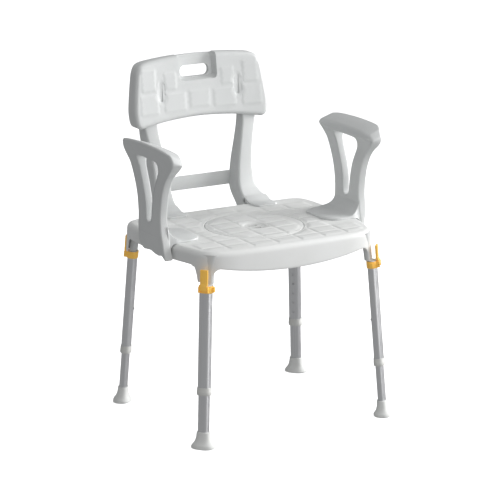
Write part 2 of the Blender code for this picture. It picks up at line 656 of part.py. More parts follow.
def make_back_frame(chair):
    frame = None
    for side in (1, -1):
        word = "right" if side > 0 else "left"
        across = (min(side * 0.08, side * 0.17), max(side * 0.08, side * 0.17))

        def front_prism(name, inset, low, high):
            loop = [(side * x, z) for x, z in upright_front_outline(inset)]
            return prism(name, [loop], "xz", low, high)

        body = prism("upright", [upright_side_outline(0.0)], "yz", *across)
        if frame is None:
            frame = piece("back_frame", body, PLASTIC_WHITE, chair)
            upright = frame
        else:
            upright = cutter("upright_" + word, body, chair)
        view = front_prism("upright_view", 0.0, 0.12, 0.32)
        boolean(upright, cutter("upright_view_" + word, view, chair), "INTERSECT")
        hollow = prism("channel", [upright_side_outline(UPRIGHT_WALL)], "yz", *across)
        channel = cutter("channel_" + word, hollow, chair)
        limit = front_prism("channel_view", UPRIGHT_WALL, 0.10, 0.34)
        boolean(channel, cutter("channel_view_" + word, limit, chair), "INTERSECT")
        boolean(upright, channel, "DIFFERENCE")
    bar = box("crossbar", (-CROSSBAR_REACH, CROSSBAR_Y[0], CROSSBAR_Z[0]),
              (CROSSBAR_REACH, CROSSBAR_Y[1], CROSSBAR_Z[1]))
    boolean(frame, cutter("crossbar", bar, chair), "UNION")
    boolean(frame, upright, "UNION")
    return frame


# ---- Legs ------------------------------------------------------------------------------
def leg_matrix(side_x, side_y):
    """Foot of the axis, with Z up the leg and X outwards along the diagonal."""
    up = Vector((-side_x * SPLAY_X, -side_y * SPLAY_Y, 1.0)).normalized()
    out = Vector((side_x * DIAGONAL[0], side_y * DIAGONAL[1], 0.0))
    out = (out - up * out.dot(up)).normalized()
    across = up.cross(out)
    turn = Matrix((out, across, up)).transposed().to_4x4()
    return Matrix.Translation((side_x * FOOT_X, side_y * FOOT_Y, 0.0)) @ turn


def tube_mesh(name, half, wall, low, high):
    outer = [(v.x, v.y) for v in oval(half[0], half[1], 0.0)]
    inner = [(v.x, v.y) for v in oval(half[0] - wall, half[1] - wall, 0.0)]
    return prism(name, [outer, inner], "xy", low, high)


def button_drill(name, leg, height):
    """Drill from inside the leg out through its inward face."""
    return cutter(name, cylinder(name, HOLE_RADIUS, (-0.03, 0, height), (-0.004, 0, height), 12), leg)


def collar_mesh():
    """Guide collar: a sleeve around the outer tube whose lip below it guides the inner tube."""
    low, top = COLLAR
    outer = (OUTER_TUBE[0] + 0.0018, OUTER_TUBE[1] + 0.0018)
    pocket = (OUTER_TUBE[0] + GAP, OUTER_TUBE[1] + GAP)
    bore = (INNER_TUBE[0] + GAP, INNER_TUBE[1] + GAP)
    rings = [oval(*bore, low), oval(outer[0] - 0.0015, outer[1] - 0.0015, low), oval(*outer, low + 0.0018),
             oval(*outer, top - 0.0010), oval(outer[0] - 0.0008, outer[1] - 0.0008, top),
             oval(*pocket, top), oval(*pocket, OUTER_LOW - GAP), oval(*bore, OUTER_LOW - GAP)]
    return finish_mesh("guide_collar", loft(rings, closed=True))


def foot_mesh(matrix):
    """Flared foot with a blind socket for the inner tube, cut level with the floor."""
    sock = (INNER_TUBE[0] + GAP, INNER_TUBE[1] + GAP)
    rings = [oval(0.0225, 0.0290, -0.010), oval(0.0225, 0.0290, 0.0045), oval(0.0205, 0.0265, 0.0085),
             oval(0.0165, 0.0215, 0.0150), oval(0.0138, 0.0182, 0.0230), oval(0.0128, 0.0168, 0.0300),
             oval(0.0126, 0.0164, FOOT_TOP - 0.0012), oval(0.0118, 0.0156, FOOT_TOP),
             oval(*sock, FOOT_TOP), oval(*sock, INNER_LOW - GAP)]
    bm = loft(rings)
    floor = matrix.to_3x3().inverted() @ Vector((0, 0, 1))
    bmesh.ops.bisect_plane(bm, geom=bm.verts[:] + bm.edges[:] + bm.faces[:], plane_co=(0, 0, 0),
                           plane_no=floor, clear_inner=True)
    bmesh.ops.holes_fill(bm, edges=[edge for edge in bm.edges if edge.is_boundary])
    return finish_mesh("foot", bm)


def spring_mesh():
    """Bent strip seen from the button: its arm, a round bend below it and a shorter arm behind."""
    arm = -(INNER_TUBE[0] - INNER_WALL - 0.0004)
    low, top = SPRING_ARM
    path = [(arm, top), (arm, low)]
    path += arc((arm + SPRING_BEND, low), SPRING_BEND, 210, 330, 4)
    path += [(arm + 2 * SPRING_BEND, low), (arm + 0.0110, -0.0040)]
    path = [Vector(p) for p in path]
    left, right = [], []
    for k, point in enumerate(path):
        along = (path[min(k + 1, len(path) - 1)] - path[max(k - 1, 0)]).normalized()
        side = Vector((-along.y, along.x)) * SPRING_STRIP / 2
        left.append(tuple(point + side))
        right.append(tuple(point - side))
    mesh = prism("button_spring", [left + right[::-1]], "xz", -SPRING_HALF_WIDTH, SPRING_HALF_WIDTH)
    mesh.transform(Matrix.Translation((SPRING_STRIP / 2, 0, 0)))
    return mesh


def button_mesh():
    """Domed plunger that stands on the spring's arm and comes out through both tubes."""
    inside = -(INNER_TUBE[0] - INNER_WALL) - GAP / 2
    outside = -(OUTER_TUBE[0] + BUTTON_STANDS_OUT)
    profile = [(BUTTON_RADIUS, inside), (BUTTON_RADIUS, outside + 0.0012),
               (BUTTON_RADIUS * 0.8, outside + 0.0004), (BUTTON_RADIUS * 0.35, outside)]
    turn = [2 * math.pi * k / 16 for k in range(16)]
    rings = [[Vector((x, r * math.cos(t), r * math.sin(t))) for t in turn] for r, x in profile]
    return finish_mesh("snap_button", loft(rings))


def ring_mesh():
    """Latch ring around the tube's mouth, with its two edges softened."""
    low, top = RING
    soft = 0.0007
    inner = (OUTER_TUBE[0] + GAP, OUTER_TUBE[1] + GAP)
    outer = (inner[0] + RING_WALL, inner[1] + RING_WALL)
    rings = [oval(*inner, low), oval(outer[0] - soft, outer[1] - soft, low), oval(*outer, low + soft),
             oval(*outer, top - soft), oval(outer[0] - soft, outer[1] - soft, top), oval(*inner, top)]
    return finish_mesh("latch_ring", loft(rings, closed=True))


def ring_additions(name, leg, ring, lug_side):
    """Two ears that hold the lever's pin, and the clasp lug at one end of the ring."""
    near = LEVER_HALF_WIDTH + GAP
    for side in (-1, 1):
        ends = sorted((side * near, side * (near + EAR_THICKNESS)))
        ear = box("ear", (0.0090, ends[0], RING[0] + 0.0015), (PIN_X + 0.0028, ends[1], RING[1] - 0.0010))
        boolean(ring, cutter("ear_%s_%s" % (name, "a" if side < 0 else "b"), ear, leg), "UNION")
    root = OUTER_TUBE[1] + RING_WALL - 0.0008
    ends = sorted((lug_side * root, lug_side * (OUTER_TUBE[1] + RING_WALL + LUG_REACH)))
    lug = box("lug", (-LUG_REACH, ends[0], RING[0] + 0.0020), (LUG_REACH, ends[1], RING[1] - 0.0020))
    boolean(ring, cutter("lug_" + name, lug, leg), "UNION")
    bore_loop = [(v.x, v.y) for v in oval(OUTER_TUBE[0] + GAP, OUTER_TUBE[1] + GAP, 0.0)]
    bore = prism("ring_bore", [bore_loop], "xy", RING[0] - 0.01, RING[1] + 0.01)
    boolean(ring, cutter("ring_bore_" + name, bore, leg), "DIFFERENCE")
    hole = cylinder("pin_hole", PIN_RADIUS + GAP, (PIN_X, -0.03, PIN_Z), (PIN_X, 0.03, PIN_Z), 16)
    boolean(ring, cutter("pin_hole_" + name, hole, leg), "DIFFERENCE")


def lever_mesh(faces):
    """Lever in side view, seen from its pin: knuckle, elbow, flat plate and round top."""
    inner = faces[0] - PIN_X
    outer = faces[1] - PIN_X
    tip = (outer - inner) / 2
    top = LEVER_TOP - PIN_Z - tip
    ring_top = RING[1] - PIN_Z
    loop = arc((0.0, 0.0), KNUCKLE_RADIUS, 200, 380, 8)
    loop += [(max(outer, 0.0010), 0.0110), (outer, 0.0150)]
    loop += arc((inner + tip, top), tip, 0, 180, 6)
    loop += [(inner, ring_top + 0.0050), (inner + 0.0012, ring_top + 0.0020)]
    loop += [(max(-KNUCKLE_RADIUS - 0.0001, inner + 0.0020), ring_top + 0.0012)]
    hole = arc((0.0, 0.0), PIN_RADIUS + GAP, 337.5, 0, 15)
    return prism("latch_lever", [loop, hole], "xz", -LEVER_HALF_WIDTH, LEVER_HALF_WIDTH)


def make_leg(chair, name, side_x, side_y):
    matrix = leg_matrix(side_x, side_y)
    leg = empty("leg_" + name, matrix, chair)
    tube = tube_mesh("outer_tube", OUTER_TUBE, OUTER_WALL, OUTER_LOW, OUTER_TOP)
    outer = piece("outer_tube_" + name, tube, ALUMINIUM, leg)
    for k in range(-SPARE_HOLES, SPARE_HOLES + 1):
        drill = button_drill("drill_%s_%d" % (name, k + SPARE_HOLES), leg, BUTTON_HEIGHT + k * HOLE_PITCH)
        boolean(outer, drill, "DIFFERENCE")
    tube = tube_mesh("inner_tube", INNER_TUBE, INNER_WALL, INNER_LOW, INNER_TOP)
    inner = piece("inner_tube_" + name, tube, ALUMINIUM, leg)
    boolean(inner, button_drill("inner_drill_" + name, leg, BUTTON_HEIGHT), "DIFFERENCE")
    piece("guide_collar_" + name, collar_mesh(), PLASTIC_COLLAR, leg)
    piece("foot_" + name, foot_mesh(matrix), RUBBER_GREY, leg)
    at_button = Matrix.Translation((0, 0, BUTTON_HEIGHT))
    piece("button_spring_" + name, spring_mesh(), SPRING_STEEL, leg, at_button)
    piece("snap_button_" + name, button_mesh(), SPRING_STEEL, leg, at_button)
    ring = piece("latch_ring_" + name, ring_mesh(), PLASTIC_ORANGE, leg)
    ring_additions(name, leg, ring, -1 if side_x * side_y < 0 else 1)
    at_pin = Matrix.Translation((PIN_X, 0, PIN_Z))
    faces = FRONT_LEVER if side_y < 0 else REAR_LEVER
    piece("latch_lever_" + name, lever_mesh(faces), PLASTIC_ORANGE, leg, at_pin)
    reach = LEVER_HALF_WIDTH + EAR_THICKNESS + GAP
    pin = cylinder("latch_pin", PIN_RADIUS, (0, -reach, 0), (0, reach, 0), 16)
    piece("latch_pin_" + name, pin, SPRING_STEEL, leg, at_pin)
    return leg


def main():
    chair = empty("chair", Matrix.Translation((0, LEG_MIDDLE_Y, 0)))
    legs = {}
    for name, side_x, side_y in (("front_left", -1, -1), ("front_right", 1, -1),
                                 ("rear_left", -1, 1), ("rear_right", 1, 1)):
        legs[name] = make_leg(chair, name, side_x, side_y)
    make_seat(chair, legs)
    make_insert(chair)
    for side in (-1, 1):
        make_armrest(chair, side)
    make_panel(chair)
    make_back_frame(chair)


main()
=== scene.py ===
"""Shower chair: the finished surfaces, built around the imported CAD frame."""
import math

import bmesh
import bpy
import numpy as np
from mathutils import Matrix, Vector
from mathutils.geometry import delaunay_2d_cdt

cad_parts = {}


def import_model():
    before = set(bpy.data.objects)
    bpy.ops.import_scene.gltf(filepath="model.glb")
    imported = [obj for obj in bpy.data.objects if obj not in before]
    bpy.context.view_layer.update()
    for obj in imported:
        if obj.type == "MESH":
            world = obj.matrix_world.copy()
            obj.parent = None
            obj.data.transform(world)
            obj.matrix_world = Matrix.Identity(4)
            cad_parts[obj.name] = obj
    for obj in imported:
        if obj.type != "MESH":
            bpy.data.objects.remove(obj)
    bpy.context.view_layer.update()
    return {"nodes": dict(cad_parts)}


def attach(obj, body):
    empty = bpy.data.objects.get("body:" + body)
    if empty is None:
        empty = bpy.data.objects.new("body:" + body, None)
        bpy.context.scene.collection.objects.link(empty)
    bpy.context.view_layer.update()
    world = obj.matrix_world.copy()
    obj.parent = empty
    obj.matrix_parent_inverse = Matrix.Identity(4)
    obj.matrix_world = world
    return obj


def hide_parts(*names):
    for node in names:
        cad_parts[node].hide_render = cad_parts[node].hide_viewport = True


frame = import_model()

# ---- Dimensions that repeat the CAD ------------------------------------------------------
MIDDLE_Y = -0.0302            # middle of the legs, seen from the middle of the chair
SEAT_TOP = 0.465
EDGE_RADIUS = 0.014
WALL = 0.0035
SKIRT_DRAFT = 0.05            # how far the skirt leans out for each metre down
HEM_ROUND = 0.0012
POST_LOW = 0.3925
POST_HALF_WIDTH = 0.018
POST_ARCH = 0.024
HALF_OUTLINE = (
    (0.000, -0.2060), (0.100, -0.2045), (0.175, -0.1990), (0.2165, -0.1870),
    (0.2365, -0.1640), (0.2475, -0.1250), (0.2580, -0.0750), (0.2620, 0.0000),
    (0.2615, 0.0900), (0.2580, 0.1420), (0.2470, 0.1760), (0.2200, 0.1925),
    (0.160, 0.1950), (0.000, 0.1950),
)
INSERT_Y = -0.012
INSERT_RADIUS = 0.1192
POCKET_RADIUS = 0.1203
POCKET_DEPTH = 0.0048
LEDGE_INNER, LEDGE_OUTER, LEDGE_THICK = 0.110, 0.126, 0.0035
TILE_RISE, TILE_SOFT = 0.0009, 0.0016
BOWL_DEPTH, BOWL_FLOOR, BOWL_UNDER = 0.0036, 0.0222, 0.0262
FOOT_X, FOOT_Y = 0.2500, 0.2077
SPLAY_X, SPLAY_Y = 0.0572, 0.0596
DIAGONAL = (0.777, 0.630)
OVAL_POWER = 2.0 / 2.35
OUTER_TUBE = (0.0120, 0.01575)
OUTER_WALL, OUTER_ENDS = 0.0015, (0.1310, 0.3895)
INNER_TUBE = (0.0100, 0.01375)
INNER_WALL, INNER_ENDS = 0.0014, (0.0070, 0.2680)
FIT = 0.0003                  # gap between a tube and what sits on it
COLLAR_LOW, COLLAR_STEP, COLLAR_HIGH = 0.1270, 0.1308, 0.1455
BUTTON_HEIGHT = 0.2410
HOLE_PITCH = 0.025
HOLE_RADIUS = 0.0029
RING = (0.3716, 0.3884)
PIN_X, PIN_Z = 0.0172, 0.3800
LEVER_TOP = 0.4275
LEVER_HALF_WIDTH = 0.0095
FRONT_LEVER, REAR_LEVER = (0.0104, 0.0160), (0.0142, 0.0197)
PANEL_RADIUS = 1.30
PANEL_FACE = (0.2579, 0.7305)  # y and z of one point of the backrest's face
PANEL_LEAN = 0.142
PANEL_REAR = (0.2880, 0.760)
PANEL_REAR_LEAN = 0.10
PANEL_TOP = 0.8385
PANEL_EDGE = 0.011            # radius of the backrest's front edge
PANEL_WALL = 0.0042
LEGS = (("front_left", -1, -1), ("front_right", 1, -1), ("rear_left", -1, 1), ("rear_right", 1, 1))


# ---- Materials -----------------------------------------------------------------------------
GRAIN_DEPTH = 0.0002
LINE_DEPTH = 0.0001


def node(tree, kind, **settings):
    made = tree.nodes.new(kind)
    for key, value in settings.items():
        if key in made.inputs:
            made.inputs[key].default_value = value
        else:
            setattr(made, key, value)
    return made


def base_material(name):
    made = bpy.data.materials.new(name)
    made.use_nodes = True
    tree = made.node_tree
    place = node(tree, "ShaderNodeTexCoord").outputs["Object"]
    return made, tree, tree.nodes["Principled BSDF"], place


def noise(tree, place, scale, detail=3.0, stretch=None):
    if stretch:
        mapping = node(tree, "ShaderNodeMapping", Scale=stretch)
        tree.links.new(place, mapping.inputs["Vector"])
        place = mapping.outputs["Vector"]
    made = node(tree, "ShaderNodeTexNoise", Scale=scale, Detail=detail)
    tree.links.new(place, made.inputs["Vector"])
    return made.outputs["Fac"]


def between(tree, fac, low, high, start=0.3, end=0.7):
    made = node(tree, "ShaderNodeMapRange")
    made.inputs["From Min"].default_value = start
    made.inputs["From Max"].default_value = end
    made.inputs["To Min"].default_value = low
    made.inputs["To Max"].default_value = high
    tree.links.new(fac, made.inputs["Value"])
    return made.outputs["Result"]


def two_colours(tree, shader, fac, first, second):
    made = node(tree, "ShaderNodeMix", data_type="RGBA")
    made.inputs[6].default_value = (*first, 1.0)
    made.inputs[7].default_value = (*second, 1.0)
    tree.links.new(fac, made.inputs[0])
    tree.links.new(made.outputs[2], shader.inputs["Base Color"])


def bump(tree, shader, height, strength, distance):
    made = node(tree, "ShaderNodeBump", Strength=strength, Distance=distance)
    tree.links.new(height, made.inputs["Height"])
    tree.links.new(made.outputs["Normal"], shader.inputs["Normal"])


def plastic(name, light, dark, rough, grain, grain_strength, coat=0.0, painted_glow=0.0):
    """Moulded plastic: slow colour drift, fine spark-eroded grain and an uneven gloss.
    A little painted glow, emission on a piece that is no lamp, stands in for the light that soaks through a
    translucent piece."""
    made, tree, shader, place = base_material(name)
    drift = between(tree, noise(tree, place, 11.0, 4.0), 0.0, 1.0)
    two_colours(tree, shader, drift, light, dark)
    tree.links.new(between(tree, noise(tree, place, 55.0), rough[0], rough[1]), shader.inputs["Roughness"])
    bump(tree, shader, noise(tree, place, grain, 2.0), grain_strength, GRAIN_DEPTH)
    shader.inputs["Coat Weight"].default_value = coat
    # Painted glow: emission in the lighter colour brightens the piece although no lamp lights it.
    shader.inputs["Emission Color"].default_value = (*light, 1.0)
    shader.inputs["Emission Strength"].default_value = painted_glow
    shader.inputs["Coat Roughness"].default_value = 0.25
    return made


def drawn_metal(name, light, dark, rough, lines, strength):
    """Drawn and anodised tube: fine lines along the piece's own Z and a little cloudiness."""
    made, tree, shader, place = base_material(name)
    streak = noise(tree, place, 1.0, 3.0, lines)
    cloud = noise(tree, place, 40.0, 4.0)
    two_colours(tree, shader, between(tree, streak, 0.0, 1.0), light, dark)
    tree.links.new(between(tree, cloud, rough[0], rough[1]), shader.inputs["Roughness"])
    bump(tree, shader, streak, strength, LINE_DEPTH)
    shader.inputs["Metallic"].default_value = 1.0
    return made


WHITE = plastic("white_plastic", (0.718, 0.731, 0.728), (0.690, 0.704, 0.701),
                (0.34, 0.46), 900.0, 0.10)
SEAT_WHITE = plastic("seat_plastic", (0.880, 0.888, 0.880), (0.835, 0.842, 0.828),
                     (0.42, 0.56), 700.0, 0.16)
# The orange pieces carry a painted glow: emission of 0.14 brightens them as if light soaked through.
ORANGE = plastic("orange_plastic", (1.000, 0.600, 0.110), (0.980, 0.520, 0.075),
                 (0.26, 0.38), 800.0, 0.05, coat=0.2, painted_glow=0.14)
COLLAR = plastic("collar_plastic", (0.760, 0.762, 0.735), (0.700, 0.702, 0.675),
                 (0.38, 0.50), 900.0, 0.10)
RUBBER = plastic("foot_rubber", (0.860, 0.868, 0.850), (0.800, 0.808, 0.790),
                 (0.55, 0.72), 600.0, 0.22)
TUBE = drawn_metal("anodised_aluminium", (0.790, 0.795, 0.805), (0.710, 0.715, 0.725), (0.36, 0.48),
                   (900.0, 900.0, 5.0), 0.10)
STEEL = drawn_metal("spring_steel", (0.560, 0.560, 0.570), (0.470, 0.470, 0.480), (0.22, 0.36),
                    (700.0, 700.0, 60.0), 0.06)


# ---- Mesh helpers --------------------------------------------------------------------------
class Builder:
    """Collects rings and sheets of points, then makes one object of them."""

    def __init__(self):
        self.points = []
        self.faces = []

    def add(self, points):
        start = len(self.points)
        self.points += [Vector(p) for p in points]
        return list(range(start, len(self.points)))

    def band(self, a, b):
        count = len(a)
        for i in range(count):
            j = (i + 1) % count
            self.faces.append((a[i], a[j], b[j], b[i]))

    def bands(self, rings):
        for a, b in zip(rings, rings[1:]):
            self.band(a, b)

    def cap(self, ring):
        self.faces.append(tuple(ring))

    def solid(self, rings):
        """Bands through the rings and a cap at each end."""
        self.bands(rings)
        self.cap(rings[0])
        self.cap(rings[-1])

    def build(self, name, material, body, replaces=(), matrix=None, sharp=38.0):
        bm = bmesh.new()
        verts = [bm.verts.new(p) for p in self.points]
        for face in self.faces:
            corners = []
            for k in face:
                if not corners or verts[k] is not corners[-1]:
                    corners.append(verts[k])
            if len(set(corners)) > 2:
                try:
                    bm.faces.new(corners)
                except ValueError:
                    continue
        bmesh.ops.remove_doubles(bm, verts=bm.verts, dist=0.00002)
        loose = [v for v in bm.verts if not v.link_faces]
        bmesh.ops.delete(bm, geom=loose, context="VERTS")
        bmesh.ops.recalc_face_normals(bm, faces=bm.faces)
        finish(name, bm, material, body, replaces, matrix, sharp)


def finish(name, bm, material, body, replaces, matrix, sharp):
    """One object made of bm, riding on body, with edges sharper than sharp degrees kept crisp."""
    mesh = bpy.data.meshes.new(name)
    bm.to_mesh(mesh)
    bm.free()
    mesh.shade_smooth()
    mesh.set_sharp_from_angle(angle=math.radians(sharp))
    obj = bpy.data.objects.new(name, mesh)
    bpy.context.scene.collection.objects.link(obj)
    mesh.materials.append(material)
    if matrix is not None:
        obj.matrix_world = matrix
    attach(obj, body)
    if replaces:
        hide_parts(*replaces)


def spline_through(points, steps, cyclic=False):
    count = len(points)
    made = []
    for i in range(count if cyclic else count - 1):
        before = Vector(points[(i - 1) % count if cyclic else max(i - 1, 0)])
        start = Vector(points[i])
        end = Vector(points[(i + 1) % count])
        after = Vector(points[(i + 2) % count if cyclic else min(i + 2, count - 1)])
        for k in range(steps):
            t = k / steps
            made.append(0.5 * (2 * start + (end - before) * t
                               + (2 * before - 5 * start + 4 * end - after) * t * t
                               + (3 * start - before - 3 * end + after) * t * t * t))
    if not cyclic:
        made.append(Vector(points[-1]))
    return made


def arc(centre, radius, start_deg, end_deg, steps):
    turn = [math.radians(start_deg + (end_deg - start_deg) * k / steps) for k in range(steps + 1)]
    return [(centre[0] + radius * math.cos(t), centre[1] + radius * math.sin(t)) for t in turn]


def circle(centre, radius, sides):
    return arc(centre, radius, 0, 360.0 * (sides - 1) / sides, sides - 1)


def rounded_rectangle(low, high, radius, steps=5):
    corners = (((high[0] - radius, high[1] - radius), 0), ((low[0] + radius, high[1] - radius), 90),
               ((low[0] + radius, low[1] + radius), 180), ((high[0] - radius, low[1] + radius), 270))
    return [point for centre, turn in corners for point in arc(centre, radius, turn, turn + 90, steps)]


def densify(loop, spacing):
    """The same closed loop with points no further apart than spacing."""
    made = []
    for a, b in zip(loop, loop[1:] + loop[:1]):
        a, b = Vector(a[:2]), Vector(b[:2])
        pieces = max(1, math.ceil((b - a).length / spacing))
        made += [tuple(a.lerp(b, k / pieces)) for k in range(pieces)]
    return made


def inset(loop, distance):
    """A closed anticlockwise loop moved inwards; distance is a number or one number per point."""
    made = []
    count = len(loop)
    for k in range(count):
        along = Vector(loop[(k + 1) % count][:2]) - Vector(loop[k - 1][:2])
        if along.length < 1e-9:
            made.append(tuple(loop[k][:2]))
            continue
        inward = Vector((-along.y, along.x)).normalized()
        d = distance if isinstance(distance, (int, float)) else distance[k]
        made.append(tuple(Vector(loop[k][:2]) + inward * d))
    return made


def inside(points, loop):
    """Which of the points lie inside the closed loop."""
    points = np.asarray(points, float)
    loop = np.asarray([p[:2] for p in loop], float)
    x, y = points[:, 0], points[:, 1]
    result = np.zeros(len(points), bool)
    for (x0, y0), (x1, y1) in zip(loop, np.roll(loop, -1, axis=0)):
        if y0 == y1:
            continue
        crosses = (y0 > y) != (y1 > y)
        result ^= crosses & (x < (x1 - x0) * (y - y0) / (y1 - y0) + x0)
    return result


def triangulate(outline, holes, lines, spacing):
    """Triangles over outline less holes, with lines (closed loops) kept as edges.
    Returns the flat points, the triangles, and for each input loop its points' places in them."""
    loops = [outline, *holes, *lines]
    points, edges, spans = [], [], []
    for loop in loops:
        start = len(points)
        points += [tuple(p[:2]) for p in loop]
        edges += [(start + k, start + (k + 1) % len(loop)) for k in range(len(loop))]
        spans.append((start, len(points)))
    border = np.array(points)
    low, high = border.min(0), border.max(0)
    grid = np.array([(x + (0.5 * spacing if row % 2 else 0.0), y)
                     for row, y in enumerate(np.arange(low[1], high[1], spacing))
                     for x in np.arange(low[0], high[0], spacing)])
    far = np.ones(len(grid), bool)
    for chunk in range(0, len(border), 400):
        part = border[chunk:chunk + 400]
        gap = np.sqrt(((grid[:, None, :] - part[None, :, :]) ** 2).sum(2)).min(1)
        far &= gap > 0.45 * spacing
    grid = grid[far & inside(grid, outline)]
    for hole in holes:
        grid = grid[~inside(grid, hole)]
    flat = [Vector(p) for p in points] + [Vector(p) for p in grid]
    verts, _, faces, origins, _, _ = delaunay_2d_cdt(flat, edges, [], 0, 1e-7, True)
    where = {}
    for k, sources in enumerate(origins):
        for source in sources:
            where[source] = k
    centres = np.array([sum((verts[k] for k in f), Vector((0, 0))) / 3 for f in faces])
    keep = inside(centres, outline)
    for hole in holes:
        keep &= ~inside(centres, hole)
    kept = [tuple(f) for f, good in zip(faces, keep) if good]
    return verts, kept, [[where[i] for i in range(a, b)] for a, b in spans]


def sheet(builder, outline, holes, lines, spacing, place):
    """Adds a triangulated sheet; place turns a flat point into one in space.
    Returns the builder's indices of the outline and of each hole."""
    verts, faces, loops = triangulate(outline, holes, lines, spacing)
    index = builder.add([place(v.x, v.y) for v in verts])
    builder.faces += [tuple(index[k] for k in f) for f in faces]
    made = [[index[k] for k in loop] for loop in loops]
    return made[0], made[1:1 + len(holes)]


def smooth(x, start, end):
    """0 before start, 1 after end, and an S curve between them."""
    t = min(max((x - start) / (end - start), 0.0), 1.0)
    return t * t * (3 - 2 * t)


def distance_inside(loop):
    """A function giving how far inside a closed loop a point is, negative outside."""
    ring = np.array([p[:2] for p in loop])
    nxt = np.roll(ring, -1, axis=0)
    step = nxt - ring
    length = np.maximum((step ** 2).sum(1), 1e-14)

    def measure(x, y):
        p = np.array((x, y))
        t = np.clip(((p - ring) * step).sum(1) / length, 0, 1)
        gap = np.sqrt((((ring + step * t[:, None]) - p) ** 2).sum(1).min())
        level = (ring[:, 1] > y) != (nxt[:, 1] > y)
        across = ring[level, 0] + step[level, 0] * (y - ring[level, 1]) / step[level, 1]
        return gap if (across > x).sum() % 2 else -gap
    return measure


def relief(pads, rise, soft, keep_out=(), keep_in=()):
    """Loops and a height function for pads that stand rise above a surface, soft wide at the edge.
    The pads stop short of every keep_out loop and stay inside every keep_in loop."""
    lines, tests = [], []
    limits = []
    for sign, loops in ((-1, keep_out), (1, keep_in)):
        for loop in loops:
            limits.append((sign, distance_inside(loop)))
            lines += [loop, inset(loop, sign * soft)]
    for pad in pads:
        outer = densify(pad, 0.004)
        inner = inset(outer, soft)
        lines += [outer, inner]
        xs, ys = [p[0] for p in outer], [p[1] for p in outer]
        tests.append((min(xs), max(xs), min(ys), max(ys), distance_inside(outer)))

    def height(x, y):
        for x0, x1, y0, y1, depth in tests:
            if x0 < x < x1 and y0 < y < y1:
                d = depth(x, y)
                for sign, limit in limits:
                    d = min(d, sign * limit(x, y)) if d > 0 else d
                if d > 0:
                    return rise * smooth(d, 0.0, soft * 0.98)
        return 0.0
    return lines, height


def oval(half_x, half_y, height, centre_x=0.0):
    """A ring of points on the tubes' squarish oval."""
    ring = []
    for k in range(56):
        t = 2 * math.pi * k / 56
        c, s = math.cos(t), math.sin(t)
        ring.append(Vector((centre_x + half_x * math.copysign(abs(c) ** OVAL_POWER, c),
                            half_y * math.copysign(abs(s) ** OVAL_POWER, s), height)))
    return ring


def leg_matrix(side_x, side_y):
    """A leg's own frame: up along the leg, X outwards over the foot's short axis."""
    up = Vector((-side_x * SPLAY_X, -side_y * SPLAY_Y, 1.0)).normalized()
    out = Vector((side_x * DIAGONAL[0], side_y * DIAGONAL[1], 0.0))
    out = (out - up * out.dot(up)).normalized()
    turn = Matrix((out, up.cross(out), up)).transposed().to_4x4()
    return Matrix.Translation((side_x * FOOT_X, MIDDLE_Y + side_y * FOOT_Y, 0.0)) @ turn


def world(x, y, z):
    """A point measured from the middle of the legs."""
    return Vector((x, y + MIDDLE_Y, z))


def hub_circle(radius, sides=160):
    """A circle about the insert's axis."""
    return circle((0.0, INSERT_Y), radius, sides)


def hub_ring(builder, radius, z, sides=160):
    return builder.add([world(x, y, z) for x, y in hub_circle(radius, sides)])


# ---- Seat ----------------------------------------------------------------------------------
def seat_outline():
    """The seat's plan: each point with its distance along the edge from the nearest post."""
    right = list(HALF_OUTLINE)
    left = [(-x, y) for x, y in reversed(right[1:-1])]
    fine = spline_through(right + left, 12, cyclic=True)
    lengths = [0.0]
    for a, b in zip(fine, fine[1:] + fine[:1]):
        lengths.append(lengths[-1] + (b - a).length)
    total = lengths[-1]
    posts = []
    for side_x, side_y in ((1, -1), (1, 1), (-1, 1), (-1, -1)):
        reach = [p.x * side_x * DIAGONAL[0] + p.y * side_y * DIAGONAL[1] for p in fine]
        posts.append(lengths[reach.index(max(reach))])
    made = []
    steps = 420
    k = 0
    for n in range(steps):
        s = total * n / steps
        while lengths[k + 1] < s:
            k += 1
        part = (s - lengths[k]) / (lengths[k + 1] - lengths[k])
        point = fine[k].lerp(fine[(k + 1) % len(fine)], part)
        away = min(min(abs(s - p), total - abs(s - p)) for p in posts)
        made.append((tuple(point), away))
    return made


def skirt_low(point, away):
    """Height of the skirt's hem, which arches up on each side of a corner post."""
    edge = 0.405 + 0.50 * point[0] ** 2 if point[1] < -0.15 else 0.430
    rise = min(max((away - POST_HALF_WIDTH) / POST_ARCH, 0.0), 1.0)
    return POST_LOW + (edge - POST_LOW) * math.sqrt(1 - (1 - rise) ** 2)


def area(loop):
    """Positive for an anticlockwise loop."""
    pts = np.array([p[:2] for p in loop])
    nxt = np.roll(pts, -1, axis=0)
    return 0.5 * float((pts[:, 0] * nxt[:, 1] - pts[:, 1] * nxt[:, 0]).sum())


def tile_grid():
    """The square tiling that runs across the seat and the insert."""
    made = []
    for row in range(9):
        low_y = -0.1960 + row * 0.0475
        for column in range(-3, 4):
            left = column * 0.064 - 0.0303
            made.append(rounded_rectangle((left, low_y), (left + 0.0606, low_y + 0.0440), 0.005))
    return made


def seat_tiles():
    """The seat's share of the tiles, left out under the armrests and the uprights."""
    made = []
    for tile in tile_grid():
        x = sum(p[0] for p in tile) / len(tile)
        y = sum(p[1] for p in tile) / len(tile)
        under_arm = abs(x) > 0.150 and -0.105 < y < 0.100
        under_back = abs(x) > 0.060 and y > 0.115
        under_insert = (Vector((x, y)) - Vector((0.0, INSERT_Y))).length < 0.085
        if not (under_arm or under_back or under_insert):
            made.append(tile)
    return made


